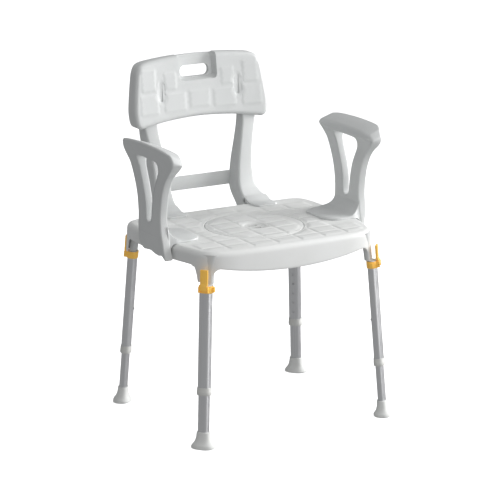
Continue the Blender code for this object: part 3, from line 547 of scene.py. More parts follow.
def make_seat():
    outline = seat_outline()
    plan = [p for p, _ in outline]
    lows = [skirt_low(p, away) for p, away in outline]
    shoulder = SEAT_TOP - EDGE_RADIUS
    b = Builder()

    def ring(inset_by, heights):
        flat = inset(plan, inset_by)
        return b.add([world(x, y, z) for (x, y), z in zip(flat, heights)])

    def skirt_ring(inset_by, heights):
        return ring([inset_by - SKIRT_DRAFT * (shoulder - z) for z in heights], heights)

    def bend_ring(inset_by, radius, angle):
        turn = math.radians(angle)
        height = shoulder + radius * math.sin(turn)
        return ring(inset_by + radius * (1 - math.cos(turn)), [height] * len(plan))

    rings = []
    for t in (0.0, 0.35, 1.0):
        turn = math.radians(90 * t)
        rings.append(skirt_ring(HEM_ROUND * (1 - math.sin(turn)),
                                [low + HEM_ROUND * (1 - math.cos(turn)) for low in lows]))
    for t in (0.12, 0.3, 0.55, 0.8, 1.0):
        rings.append(skirt_ring(0.0, [low + HEM_ROUND + (shoulder - low - HEM_ROUND) * t for low in lows]))
    rings += [bend_ring(0.0, EDGE_RADIUS, angle) for angle in (12, 24, 36, 48, 60, 72, 81, 90)]
    b.bands(rings)
    inner = [skirt_ring(WALL - HEM_ROUND, lows)]
    for t in (0.02, 0.5, 1.0):
        inner.append(skirt_ring(WALL, [low + (shoulder - low) * t for low in lows]))
    inner += [bend_ring(WALL, EDGE_RADIUS - WALL, angle) for angle in (30, 60, 90)]
    b.band(rings[0], inner[0])
    b.bands(inner)
    rise_line = hub_circle(POCKET_RADIUS + 0.0048)
    lines, height = relief(seat_tiles(), TILE_RISE, TILE_SOFT, [hub_circle(0.1295, 120)],
                           [densify(inset(plan, EDGE_RADIUS + 0.007), 0.004)])
    _, holes = sheet(b, inset(plan, EDGE_RADIUS), [hub_circle(POCKET_RADIUS + 0.0022)],
                     [rise_line, *lines], 0.008, lambda x, y: world(x, y, SEAT_TOP + height(x, y)))
    lip = [holes[0]]
    for grow, drop in ((0.0014, 0.0004), (0.0006, 0.0012), (0.0, 0.0024), (0.0, POCKET_DEPTH)):
        lip.append(hub_ring(b, POCKET_RADIUS + grow, SEAT_TOP - drop))
    ledge_under = POCKET_DEPTH + LEDGE_THICK
    for radius, drop in ((LEDGE_INNER, POCKET_DEPTH), (LEDGE_INNER, ledge_under),
                         (LEDGE_OUTER, ledge_under), (LEDGE_OUTER, WALL)):
        lip.append(hub_ring(b, radius, SEAT_TOP - drop))
    b.bands(lip)
    sheet(b, inset(plan, EDGE_RADIUS), [hub_circle(LEDGE_OUTER)], [], 0.030,
          lambda x, y: world(x, y, SEAT_TOP - WALL))
    b.build("seat_shell", SEAT_WHITE, "seat", ["seat_body"], sharp=50.0)


def make_posts():
    """Corner posts' cores: the plug in each leg's mouth and the gusset that joins it to the seat."""
    for name, sx, sy in LEGS:
        lean = 0.0085 if sy < 0 else 0.0015
        b = Builder()
        half_x, half_y = (half - OUTER_WALL - 0.00045 for half in OUTER_TUBE)
        rings = [oval(half_x - 0.0015, half_y - 0.0015, 0.3472), oval(half_x, half_y, 0.3492),
                 oval(half_x, half_y, 0.3898), oval(0.0095, 0.0150, 0.3915, centre_x=-lean),
                 oval(0.0095, 0.0150, 0.4100, centre_x=-lean - 0.001),
                 oval(0.0098, 0.0152, 0.4250, centre_x=-lean - 0.002),
                 oval(0.0108, 0.0170, 0.4360, centre_x=-lean - 0.003),
                 oval(0.0125, 0.0196, 0.4460, centre_x=-lean - 0.004),
                 oval(0.0158, 0.0238, 0.4600, centre_x=-lean - 0.007)]
        b.solid([b.add(r) for r in rings])
        b.build("seat_post_" + name, WHITE, "seat", matrix=leg_matrix(sx, sy))


def make_insert():
    near = distance_inside(hub_circle(0.1450, 60))
    tiles = [tile for tile in tile_grid() if near(*tile[0]) > 0]
    lines, height = relief(tiles, TILE_RISE, TILE_SOFT, [hub_circle(0.0350, 60)],
                           [hub_circle(0.1105, 120)])
    b = Builder()
    outer, holes = sheet(b, hub_circle(INSERT_RADIUS - 0.0015), [hub_circle(0.0305, 72)], lines, 0.008,
                         lambda x, y: world(x, y, SEAT_TOP + height(x, y)))
    edge = [outer]
    for grow, drop in ((-0.0007, 0.0002), (-0.0002, 0.0007), (0.0, 0.0014), (0.0, 0.0045)):
        edge.append(hub_ring(b, INSERT_RADIUS + grow, SEAT_TOP - drop))
    for radius, z in ((0.1094, 0.4605), (0.1090, 0.4545), (0.1060, 0.4545), (0.1055, 0.4610),
                      (0.0335, 0.4610)):
        edge.append(hub_ring(b, radius, z))
    b.bands(edge)
    bowl = [holes[0]]
    for radius, drop in ((0.0294, 0.0004), (0.0284, 0.0012), (0.0270, 0.0023), (0.0254, 0.0030),
                         (0.0238, 0.0034), (BOWL_FLOOR, BOWL_DEPTH)):
        bowl.append(hub_ring(b, radius, SEAT_TOP - drop, 72))
    b.bands(bowl)
    slots = []
    for s in (-1, 1):
        low_y = INSERT_Y + s * 0.0105 - 0.0055
        slots.append(rounded_rectangle((-0.0145, low_y), (0.0145, low_y + 0.0110), 0.004))
    (floor, floor_slots), (under, under_slots) = [
        sheet(b, hub_circle(radius, 72), slots, [], 0.006, lambda x, y, z=z: world(x, y, z))
        for radius, z in ((BOWL_FLOOR, SEAT_TOP - BOWL_DEPTH), (BOWL_UNDER, SEAT_TOP - 0.0125))]
    b.band(bowl[-1], floor)
    for upper, lower in zip(floor_slots, under_slots):
        b.band(upper, lower)
    b.bands([under, hub_ring(b, 0.0305, 0.4560, 72), hub_ring(b, 0.0335, 0.4610, 72)])
    b.build("hygiene_insert", SEAT_WHITE, "insert", ["seat_insert"], sharp=50.0)


# ---- Backrest ------------------------------------------------------------------------------
def face_y(x, z):
    """The backrest's curved and leaning face, before the handle's scoop."""
    return PANEL_FACE[0] + (z - PANEL_FACE[1]) * PANEL_LEAN - x * x / (2 * PANEL_RADIUS)


def rear_y(z):
    return PANEL_REAR[0] + (z - PANEL_REAR[1]) * PANEL_REAR_LEAN


HANDLE_HALF = 0.052
HANDLE_LOW = 0.776
RECESS_DEPTH = 0.020
HOLE_HALF = 0.0405
HANDLE_DROP = 0.22            # how far the handle's top edge sinks for each metre it is set back
HANDLE_CORNER = 0.0100        # radius of the scoop's lower corners
SLEEVE = 0.0110               # depth of the collar behind the handle's opening
SLOT_X, SLOT_LOW, SLOT_MIDDLE, SLOT_HIGH = 0.107, 0.7305, 0.7540, 0.7775
SLOT_LIP = 0.0030             # thickness of the face at a slot, in front of its wider cavity
SLOT_CAVITY, SLOT_BOSS = 0.0060, 0.0075  # how far each reaches past the slot's edge


def sunk(x, z):
    """How far the backrest's top edge sinks where it is set back behind the handle."""
    return HANDLE_DROP * recess(x, z) * smooth(z, 0.812, 0.834)


def edge_y(x, z):
    """Where the rounded front edge ends and the side wall starts."""
    return face_y(x, z) + PANEL_EDGE + 0.98 * recess(x, z)


def recess(x, z):
    """How deep the handle's scoop is at a point of the backrest's face."""
    across = abs(x) - (HANDLE_HALF + 0.001 - HANDLE_CORNER)
    down = HANDLE_LOW - 0.002 + HANDLE_CORNER - z
    within = HANDLE_CORNER - math.hypot(max(across, 0.0), max(down, 0.0)) - min(max(across, down), 0.0)
    return RECESS_DEPTH * smooth(within, 0.0, 0.0045)


def panel_loop():
    half = [(0.000, 0.6845), (0.090, 0.6800), (0.150, 0.6720), (0.1715, 0.6700), (0.1830, 0.6800),
            (0.1865, 0.7050), (0.1850, 0.7300), (0.1785, 0.7800), (0.1720, 0.8100), (0.1580, 0.8260),
            (0.120, 0.8325), (0.060, 0.8370), (0.000, PANEL_TOP)]
    loop = half + [(-x, z) for x, z in reversed(half[1:-1])]
    return densify([tuple(p) for p in spline_through(loop, 6, cyclic=True)], 0.0042)


def slot_surround(side, grow):
    """Elongated hexagon round one of the backrest's slots."""
    wide, tip, point = 0.0125 + grow, 0.0045 + grow * 0.5, 0.0330 + grow
    corners = ((wide, -0.0160), (wide, 0.0160), (tip, point), (-tip, point),
               (-wide, 0.0160), (-wide, -0.0160), (-tip, -point), (tip, -point))
    return densify([(side * SLOT_X + x, SLOT_MIDDLE + z) for x, z in corners], 0.0015)


def panel_pads():
    """Rounded tiles in two rows."""
    halves = [(0.1215, 0.758, 0.1630, 0.812), (0.1165, 0.702, 0.1700, 0.752),
              (0.0625, 0.757, 0.0985, 0.800), (0.0385, 0.7035, 0.1010, 0.7485)]
    made = [rounded_rectangle((-0.0285, 0.7080), (0.0285, 0.7505), 0.005)]
    for side in (-1, 1):
        for x0, z0, x1, z1 in halves:
            low, high = sorted((side * x0, side * x1))
            made.append(rounded_rectangle((low, z0), (high, z1), 0.005))
    return made


def make_panel():
    b = Builder()
    plan = panel_loop()

    def ring(inset_by, back):
        return b.add([world(x, face_y(x, z) + back + recess(x, z), z - sunk(x, z))
                      for x, z in inset(plan, inset_by)])

    def behind(loop, depth):
        """A ring of points depth behind the face, without the top edge's fall."""
        return b.add([world(x, face_y(x, z) + depth + recess(x, z), z) for x, z in loop])

    hole = rounded_rectangle((-HOLE_HALF, HANDLE_LOW + 0.0035), (HOLE_HALF, 0.8085), 0.0135, 8)
    slots = [rounded_rectangle((side * SLOT_X - 0.004, SLOT_LOW), (side * SLOT_X + 0.004, SLOT_HIGH),
                               0.0035, 4) for side in (-1, 1)]
    funnels = [slot_surround(side, 0.0) for side in (-1, 1)]
    lines, height = relief(panel_pads(), 0.0005, 0.0017, [slot_surround(side, 0.0015) for side in (-1, 1)])
    depth_tests = [distance_inside(f) for f in funnels]

    def funnel(x, z):
        for side, test in zip((-1, 1), depth_tests):
            if abs(x - side * SLOT_X) < 0.0135 and 0.718 < z < 0.789:
                return 0.0014 * smooth(test(x, z), 0.0, 0.0030)
        return 0.0

    def place(x, z):
        back = funnel(x, z) - height(x, z)
        return world(x, face_y(x, z) + back + recess(x, z), z - sunk(x, z))

    scoop = []
    for k, grow in enumerate((0.0008, -0.0014, -0.0036)):
        half = HANDLE_HALF + grow
        low = HANDLE_LOW - 0.002 + (0.0008 - grow)
        turn = HANDLE_CORNER + grow - 0.001
        wall = densify([(half, 0.8200), (-half, 0.8200)]
                       + arc((turn - half, low + turn), turn, 180, 270, 5)
                       + arc((half - turn, low + turn), turn, 270, 360, 5), 0.004)
        limit = PANEL_TOP - PANEL_EDGE - 0.0025 - 0.0006 * k
        scoop.append([(x, min(z, limit)) for x, z in wall])
    outer, holes = sheet(b, inset(plan, PANEL_EDGE), [hole, *slots], [*scoop, *funnels, *lines], 0.007,
                         place)
    rings = [outer]
    for angle in (75, 60, 45, 30, 15, 0):
        t = math.radians(angle)
        rings.append(ring(PANEL_EDGE * (1 - math.cos(t)), PANEL_EDGE * (1 - math.sin(t))))
    for share in (0.25, 0.5, 0.75, 0.93):
        points = []
        for x, z in inset(plan, 0.0):
            start = edge_y(x, z)
            end = max(rear_y(z), start + 0.002)
            points.append(world(x, start + (end - start) * share, z - sunk(x, z)))
        rings.append(b.add(points))
    rim = inset(plan, 0.0012)
    rings.append(b.add([world(x, max(rear_y(z), edge_y(x, z) + 0.0022), z - sunk(x, z)) for x, z in rim]))
    wall = inset(plan, 0.004)
    rings.append(b.add([world(x, max(rear_y(z), edge_y(x, z) + 0.0022), z) for x, z in wall]))
    rings.append(behind(wall, 0.006))
    b.bands(rings)
    outer_back, back_holes = sheet(
        b, inset(plan, 0.0075), [hole, *(inset(slot, -SLOT_BOSS) for slot in slots)], scoop, 0.014,
        lambda x, z: world(x, face_y(x, z) + PANEL_WALL + recess(x, z), z))
    b.band(rings[-1], outer_back)
    collar = inset(hole, -0.0025)
    b.bands([holes[0], behind(hole, SLEEVE), behind(collar, SLEEVE),
             behind(collar, PANEL_WALL + 0.0002), back_holes[0]])
    for slot, front_hole, back_hole in zip(slots, holes[1:], back_holes[1:]):
        cavity = inset(slot, -SLOT_CAVITY)
        floor, rear = [b.add([world(x, y + 0.1 * (z - 0.720), z) for x, z in loop])
                       for y, loop in ((0.2562, cavity), (0.2578, inset(slot, -SLOT_BOSS)))]
        b.bands([front_hole, behind(slot, SLOT_LIP), behind(cavity, SLOT_LIP), floor])
        b.cap(floor)
        b.band(rear, back_hole)
        b.cap(rear)
    b.build("backrest", WHITE, "back", ["back_panel"], sharp=45.0)


def upright_tongue():
    """Rings of the flat tongue that each upright puts on the seat."""
    rings = []
    soft = 0.0022
    low = SEAT_TOP + 0.0004
    for k in range(9):
        t = k / 8
        y = 0.2060 - 0.0660 * t
        top = 0.4795 - 0.0098 * smooth(t, 0.0, 0.45) - 0.0012 * smooth(t, 0.9, 1.0)
        spread = 0.0 if t < 0.75 else 0.010 * (1 - math.sqrt(max(0.0, 1 - ((t - 0.75) / 0.25) ** 2)))
        xi, xo = 0.0940 + spread, 0.1580 - spread
        section = [(xi, low), (xi, top - soft), (xi + soft * 0.3, top - soft * 0.3), (xi + soft, top),
                   ((xi + xo) / 2, top + 0.0003), (xo - soft, top), (xo - soft * 0.3, top - soft * 0.3),
                   (xo, top - soft), (xo, low)]
        rings.append([(x, y, z) for x, z in section])
    return rings


def make_uprights():
    """Two swept channels, open at the rear, with a tongue on the seat and a hook behind it."""
    front = [(0.2665, 0.800), (0.2585, 0.720), (0.2535, 0.668), (0.2480, 0.630), (0.2415, 0.580),
             (0.2375, 0.550), (0.2290, 0.510), (0.2180, 0.490), (0.2060, 0.4795), (0.1985, 0.4762)]
    rear = [(0.2900, 0.800), (0.2845, 0.720), (0.2850, 0.660), (0.2860, 0.615), (0.2862, 0.565),
            (0.2860, 0.529), (0.2810, 0.500), (0.2700, 0.479), (0.2480, 0.458), (0.2310, 0.4400)]
    inner = [0.1190, 0.1190, 0.1180, 0.1125, 0.1035, 0.0990, 0.0948, 0.0942, 0.0940, 0.0940]
    outer = [0.1560, 0.1560, 0.1556, 0.1478, 0.1402, 0.1383, 0.1402, 0.1470, 0.1545, 0.1580]
    steps = 5
    fronts = spline_through(front, steps)
    rears = spline_through(rear, steps)
    inners = [p.x for p in spline_through([(v, 0.0) for v in inner], steps)]
    outers = [p.x for p in spline_through([(v, 0.0) for v in outer], steps)]
    soft, wall = 0.0055, 0.004
    corner = [math.radians(angle) for angle in (0, 18, 36, 54, 72, 90)]
    for side in (-1, 1):
        b = Builder()

        def add(points, b=b, side=side):
            return b.add([world(side * x, y, z) for x, y, z in points])

        rings = []
        for f, r, xi, xo in zip(fronts, rears, inners, outers):
            length = (r - f).length
            unit = (r - f) / length
            section = [(xi + wall, length), (xi, length), (xi, length * 0.5)]
            section += [(xi + soft - soft * math.cos(t), soft - soft * math.sin(t)) for t in corner]
            section += [(xi + (xo - xi) * 0.5, 0.0)]
            section += [(xo - soft + soft * math.sin(t), soft - soft * math.cos(t)) for t in corner]
            section += [(xo, length * 0.5), (xo, length), (xo - wall, length), (xo - wall, wall + 0.001),
                        (xo - wall - 0.001, wall), (xi + wall + 0.001, wall), (xi + wall, wall + 0.001)]
            rings.append(add([(x, f.x + unit.x * w, f.y + unit.y * w) for x, w in section]))
        b.bands(rings)
        b.cap(rings[0])
        xi, xo = inners[-1], outers[-1]
        toe, heel, hook = (0.1985, 0.4762), (0.1978, 0.4405), tuple(rears[-1])
        b.cap(add([(xi, *toe), (xo, *toe), (xo, *heel), (xi, *heel)]))
        b.cap(add([(xi, *heel), (xo, *heel), (xo, *hook), (xi, *hook)]))
        for x in (xi, xo):
            b.cap(add([(x, *toe), (x, *hook), (x, *heel)]))
        b.solid([add(ring) for ring in upright_tongue()])
        word = "left" if side < 0 else "right"
        b.build("upright_" + word, WHITE, "back", ["back_frame"] if side < 0 else (),
                sharp=42.0)
    b = Builder()
    section = rounded_rectangle((0.2800, 0.4955), (0.2856, 0.5310), 0.0022, 3)
    b.solid([b.add([world(x, y, z) for y, z in section]) for x in np.linspace(-0.102, 0.102, 9)])
    b.build("crossbar", WHITE, "back", sharp=42.0)


# ---- Armrests ------------------------------------------------------------------------------
ARM_FRONT = [(-0.120, 0.6960), (-0.1300, 0.6820), (-0.1305, 0.6680), (-0.124, 0.655), (-0.106, 0.638),
             (-0.0885, 0.619), (-0.0745, 0.592), (-0.0665, 0.562), (-0.0625, 0.530), (-0.0650, 0.498),
             (-0.0735, 0.468), (-0.0800, 0.450), (-0.0865, 0.4370), (-0.0885, 0.4305)]
ARM_HEM = [(-0.0850, 0.4290), (-0.0760, 0.4335), (-0.066, 0.4375), (-0.050, 0.4348), (-0.032, 0.4362),
           (-0.012, 0.4398), (0.008, 0.4380), (0.022, 0.4372), (0.038, 0.4450), (0.0470, 0.4560),
           (0.0488, 0.4700)]
ARM_REAR = [(0.0475, 0.525), (0.053, 0.563), (0.0665, 0.600), (0.0865, 0.635), (0.1030, 0.657),
            (0.1085, 0.672), (0.1080, 0.690)]
ARM_TOP = [(0.102, 0.6935), (0.060, 0.6985), (0.000, 0.7015), (-0.060, 0.7015), (-0.105, 0.6990)]
ARM_HOLE = [(0.0470, 0.652), (0.0370, 0.6615), (0.0100, 0.6635), (-0.0460, 0.6620), (-0.0580, 0.6540),
            (-0.0555, 0.6400), (-0.0460, 0.6220), (-0.0335, 0.598), (-0.0245, 0.570), (-0.0195, 0.540),
            (-0.0155, 0.517), (-0.0060, 0.5085), (0.0060, 0.5110), (0.0105, 0.525), (0.0125, 0.556),
            (0.0230, 0.592)]
GROOVE = (0.4750, 0.4770)     # line across the outer face where the side hook starts
GROOVE_STEP = 0.0009


def arm_section(side, y, z):
    """Inner and outer x of the armrest at a point of its side view."""
    flare = smooth(z, 0.630, 0.690)
    inner = 0.2626 - 0.0146 * flare
    tuck = smooth(0.490 - z, 0.0, 0.050) * smooth(-y, 0.020, 0.072)
    outer = 0.2838 + 0.0130 * flare - (0.0110 * tuck if side > 0 else 0.0)
    ahead = smooth(-y, 0.085, 0.133) * flare
    behind = smooth(y, 0.080, 0.110) * flare
    pinch = 0.0105 * ahead ** 1.5 + 0.0030 * behind
    return inner + pinch * 0.9, outer - pinch


def edge_radius(z):
    """Radius of the armrest's edges, larger round the pad."""
    return 0.0036 + 0.0026 * smooth(z, 0.655, 0.690)


def pad_fall(x, y, z):
    """How far the pad's top sinks towards the sitter, more so at its front end."""
    return 0.32 * (0.2968 - x) * smooth(z, 0.655, 0.692) * (1 + 0.45 * smooth(-y, 0.085, 0.128))


def arm_point(side, x, y, z):
    return world(side * x, y, z - pad_fall(x, y, z))


def make_armrest(side):
    word = "left" if side < 0 else "right"
    outline = [tuple(p) for p in spline_through(ARM_FRONT, 5)[:-1] + spline_through(ARM_HEM, 4)[:-1]
               + spline_through(ARM_REAR, 5)[:-1] + spline_through(ARM_TOP, 5)]
    outline = densify(outline, 0.006)
    if area(outline) < 0:
        outline.reverse()
    hole = densify([tuple(p) for p in spline_through(ARM_HOLE, 5, cyclic=True)], 0.005)
    if area(hole) < 0:
        hole.reverse()
    b = Builder()

    def rim(loop, outwards, inner_side):
        """Rings from the middle of the wall to the face, over the rounded edge."""
        rings = []
        for angle in (0, 18, 36, 54, 72, 90):
            t = math.radians(angle)
            moved = inset(loop, [edge_radius(z) * (1 - math.cos(t)) * outwards for _, z in loop])
            points = []
            for (y0, z0), (y, z) in zip(loop, moved):
                low, high = arm_section(side, y0, z0)
                back = edge_radius(z0) * (1 - math.sin(t))
                points.append(arm_point(side, low + back if inner_side else high - back, y, z))
            rings.append((b.add(points), moved))
        return rings

    def inner_face(y, z):
        return arm_point(side, arm_section(side, y, z)[0], y, z)

    def outer_face(y, z):
        step = GROOVE_STEP * smooth(z, *GROOVE)
        return arm_point(side, arm_section(side, y, z)[1] - step, y, z)

    grooves = [[(-0.0640, level), (0.0435, level), (0.0430, level + 0.0004), (-0.0640, level + 0.0004)]
               for level in GROOVE]
    ends = []
    for inner_side, lines, face in ((True, [], inner_face), (False, grooves, outer_face)):
        outer_rings = rim(outline, 1, inner_side)
        hole_rings = rim(hole, -1, inner_side)
        b.bands([r for r, _ in outer_rings])
        b.bands([r for r, _ in hole_rings])
        outer_ids, hole_ids = sheet(b, outer_rings[-1][1], [hole_rings[-1][1]], lines, 0.0085, face)
        b.band(outer_rings[-1][0], outer_ids)
        b.band(hole_rings[-1][0], hole_ids[0])
        ends.append((outer_rings[0][0], hole_rings[0][0]))
    b.band(ends[0][0], ends[1][0])
    b.band(ends[0][1], ends[1][1])
    body = "arm_" + word
    b.build("arm_frame_" + word, WHITE, body, ["armrest_" + word], sharp=50.0)
    make_tongue(side, body, word)


def make_tongue(side, body, word):
    """The plate on the seat and the round fillet that carries it up into the armrest."""
    top, thick, soft = SEAT_TOP + 0.0050, 0.0046, 0.0020
    radius = 0.0400
    fillet_x = 0.2640 - radius
    start = 0.1720
    path = [(start, top - 0.0020, 0.0), (0.1732, top - 0.0006, 0.0), (0.1760, top, 0.0), (0.1850, top, 0.0),
            (0.2000, top, 0.0), (0.2130, top, 0.0)]
    for angle in range(0, 86, 7):
        t = math.radians(angle)
        path.append((fillet_x + radius * math.sin(t), top + radius * (1 - math.cos(t)), t))
    b = Builder()
    rings = []
    for x, z, t in path:
        reach = min(max((x - start) / 0.090, 0.0), 1.0)
        curve = math.sqrt(max(0.0, 1 - (1 - min(reach * 2.3, 1.0)) ** 2))
        low_y = -0.0350 - 0.0400 * curve + 0.0085 * smooth(reach, 0.75, 1.0)
        high_y = 0.0300 + 0.0400 * math.sqrt(reach) - 0.0240 * smooth(reach, 0.62, 1.0)
        section = [(low_y, thick), (low_y, soft), (low_y + soft * 0.3, soft * 0.3), (low_y + soft, 0.0),
                   (low_y * 0.5 + high_y * 0.5, 0.0), (high_y - soft, 0.0),
                   (high_y - soft * 0.3, soft * 0.3), (high_y, soft), (high_y, thick)]
        over = min(max(x - 0.2475, 0.0), EDGE_RADIUS)
        seat_z = SEAT_TOP + 0.0004 - (EDGE_RADIUS - math.sqrt(EDGE_RADIUS ** 2 - over ** 2))
        flare = 0.0085 * smooth(reach, 0.65, 1.0)
        points = []
        for y, w in section:
            if w == thick:
                points.append(world(side * x, y - flare * (y < 0), seat_z))
            else:
                points.append(world(side * (x + math.sin(t) * w), y, max(z - math.cos(t) * w, seat_z)))
        rings.append(b.add(points))
    b.solid(rings)
    b.build("arm_tongue_" + word, WHITE, body, sharp=42.0)


# ---- Legs ----------------------------------------------------------------------------------
def tube(name, half, wall, ends, body, replaced, matrix, drills):
    """A drilled oval tube between two heights along the leg."""
    bm = bmesh.new()
    low, high = ends
    soft = 0.0004
    rings = []
    for inset_by, z in ((wall, low), (soft, low), (0.0, low + soft), (0.0, high - soft), (soft, high),
                        (wall, high)):
        rings.append([bm.verts.new(p) for p in oval(half[0] - inset_by, half[1] - inset_by, z)])
    for a, c in zip(rings, rings[1:] + rings[:1]):
        for i in range(len(a)):
            j = (i + 1) % len(a)
            bm.faces.new((a[i], a[j], c[j], c[i]))
    bmesh.ops.recalc_face_normals(bm, faces=bm.faces)
    mesh = bpy.data.meshes.new(name)
    bm.to_mesh(mesh)
    bm.free()
    obj = bpy.data.objects.new(name, mesh)
    bpy.context.scene.collection.objects.link(obj)
    cutter_bm = bmesh.new()
    turn = Vector((0, 0, 1)).rotation_difference(Vector((1, 0, 0))).to_matrix().to_4x4()
    for height in drills:
        bmesh.ops.create_cone(cutter_bm, cap_ends=True, segments=24, radius1=HOLE_RADIUS,
                              radius2=HOLE_RADIUS, depth=0.020,
                              matrix=Matrix.Translation((-0.0150, 0, height)) @ turn)
    cutter_mesh = bpy.data.meshes.new(name + "_drill")
    cutter_bm.to_mesh(cutter_mesh)
    cutter_bm.free()
    cutter = bpy.data.objects.new(name + "_drill", cutter_mesh)
    bpy.context.scene.collection.objects.link(cutter)
    step = obj.modifiers.new("holes", "BOOLEAN")
    step.operation = "DIFFERENCE"
    step.object = cutter
    step.solver = "EXACT"
    bpy.context.view_layer.update()
    cut = bpy.data.meshes.new_from_object(obj.evaluated_get(bpy.context.evaluated_depsgraph_get()))
    bpy.data.objects.remove(cutter)
    bpy.data.objects.remove(obj)
    bm = bmesh.new()
    bm.from_mesh(cut)
    finish(name, bm, TUBE, body, [replaced], matrix, 38.0)


def make_foot(name, matrix):
    sock = [half + FIT for half in INNER_TUBE]
    floor = matrix.to_3x3().inverted() @ Vector((0, 0, 1))

    def on_floor(p, lift):
        """The point moved along the leg until it is lift above the floor."""
        return Vector((p.x, p.y, (lift - p.x * floor.x - p.y * floor.y) / floor.z))

    rings = [[on_floor(p, 0.0) for p in oval(0.0212, 0.0277, 0.0)],
             [on_floor(p, 0.0005) for p in oval(0.0222, 0.0287, 0.0)],
             [on_floor(p, 0.0016) for p in oval(0.0225, 0.0290, 0.0)],
             [on_floor(p, 0.0042) for p in oval(0.0223, 0.0288, 0.0)],
             oval(0.0216, 0.0279, 0.0068), oval(0.0204, 0.0264, 0.0087), oval(0.0186, 0.0241, 0.0112),
             oval(0.0166, 0.0216, 0.0148), oval(0.0150, 0.0196, 0.0190), oval(0.0139, 0.0183, 0.0235),
             oval(0.0131, 0.0172, 0.0290), oval(0.0128, 0.0167, 0.0330), oval(0.0126, 0.0164, 0.0370),
             oval(0.0123, 0.0161, 0.0380), oval(0.0118, 0.0156, 0.0385), oval(*sock, 0.0385),
             oval(*sock, INNER_ENDS[0])]
    b = Builder()
    b.solid([b.add(r) for r in rings])
    b.build("foot_tip_" + name, RUBBER, "height_" + name, ["foot_" + name], matrix, 45.0)


def make_collar(name, matrix):
    outer = [half + 0.0018 for half in OUTER_TUBE]
    pocket = [half + FIT for half in OUTER_TUBE]
    bore = [half + FIT for half in INNER_TUBE]
    low, high = COLLAR_LOW, COLLAR_HIGH

    def around(inwards, z):
        return oval(outer[0] - inwards, outer[1] - inwards, z)

    rings = [oval(*bore, low), around(0.0016, low), around(0.0006, low + 0.0005), around(0.0, low + 0.0018),
             around(0.0, low + 0.0100), around(0.0004, low + 0.0106), around(0.0004, high - 0.0012),
             around(0.0008, high - 0.0003), around(0.0011, high), oval(*pocket, high),
             oval(*pocket, COLLAR_STEP), oval(*bore, COLLAR_STEP)]
    b = Builder()
    added = [b.add(r) for r in rings]
    b.bands(added)
    b.band(added[-1], added[0])
    b.build("tube_collar_" + name, COLLAR, "leg_" + name, ["guide_collar_" + name], matrix)


def soft_edges(low, high, soft):
    """Steps across a piece with rounded edges: how far in, and where."""
    return ((soft, low), (soft * 0.3, low + soft * 0.3), (0.0, low + soft),
            (0.0, high - soft), (soft * 0.3, high - soft * 0.3), (soft, high))


def rounded_block(builder, low, high, soft):
    """A box with all its edges rounded, as rings of rounded rectangles up Z."""
    rings = []
    for drop, z in soft_edges(low[2], high[2], soft):
        loop = rounded_rectangle((low[0] + drop, low[1] + drop), (high[0] - drop, high[1] - drop),
                                 max(soft - drop * 0.5, 0.0002), 3)
        rings.append(builder.add([(x, y, z) for x, y in loop]))
    builder.solid(rings)


def make_latch(name, matrix, front, lug_side):
    """The orange ring round the tube's mouth, with its lugs, and the lever between them."""
    low, top = RING
    inner = [half + FIT for half in OUTER_TUBE]
    outer = [half + 0.0017 for half in inner]

    def around(inwards, z):
        return oval(outer[0] - inwards, outer[1] - inwards, z)

    b = Builder()
    added = [b.add(r) for r in (
        oval(*inner, low), around(0.0007, low), around(0.0002, low + 0.0003), around(0.0, low + 0.0009),
        around(0.0, top - 0.0009), around(0.0002, top - 0.0003), around(0.0007, top), oval(*inner, top))]
    b.bands(added)
    b.band(added[-1], added[0])
    near = LEVER_HALF_WIDTH + FIT
    for s in (-1, 1):
        ends = sorted((s * near, s * (near + 0.0027)))
        rounded_block(b, (0.0110, ends[0], low + 0.0015), (PIN_X + 0.0028, ends[1], top - 0.0010), 0.0008)
    ends = sorted((lug_side * (OUTER_TUBE[1] + 0.0013), lug_side * (OUTER_TUBE[1] + 0.0062)))
    rounded_block(b, (-0.0045, ends[0], low + 0.0020), (0.0045, ends[1], top - 0.0020), 0.0012)
    b.build("latch_band_" + name, ORANGE, "leg_" + name, ["latch_ring_" + name], matrix)
    x0, x1 = (x - PIN_X for x in (FRONT_LEVER if front else REAR_LEVER))
    tip = (x1 - x0) / 2
    rise = LEVER_TOP - PIN_Z - tip
    ring_top = top - PIN_Z
    loop = arc((0.0, 0.0), 0.0026, 200, 380, 10)
    loop += [(max(x1, 0.0014), 0.0070), (max(x1, 0.0012), 0.0105), (x1 + 0.0002, 0.0135), (x1, 0.0160),
             (x1, rise * 0.8)]
    loop += arc((x0 + tip, rise), tip, 0, 180, 10)
    loop += [(x0, rise * 0.8), (x0, ring_top + 0.0050), (x0 + 0.0006, ring_top + 0.0030),
             (x0 + 0.0014, ring_top + 0.0018), (max(-0.0027, x0 + 0.0020), ring_top + 0.0012)]
    b = Builder()
    b.solid([b.add([(x, y, z) for x, z in inset(loop, drop)])
             for drop, y in soft_edges(-LEVER_HALF_WIDTH, LEVER_HALF_WIDTH, 0.0010)])
    b.build("latch_tab_" + name, ORANGE, "lever_" + name, ["latch_lever_" + name],
            matrix @ Matrix.Translation((PIN_X, 0, PIN_Z)), 40.0)


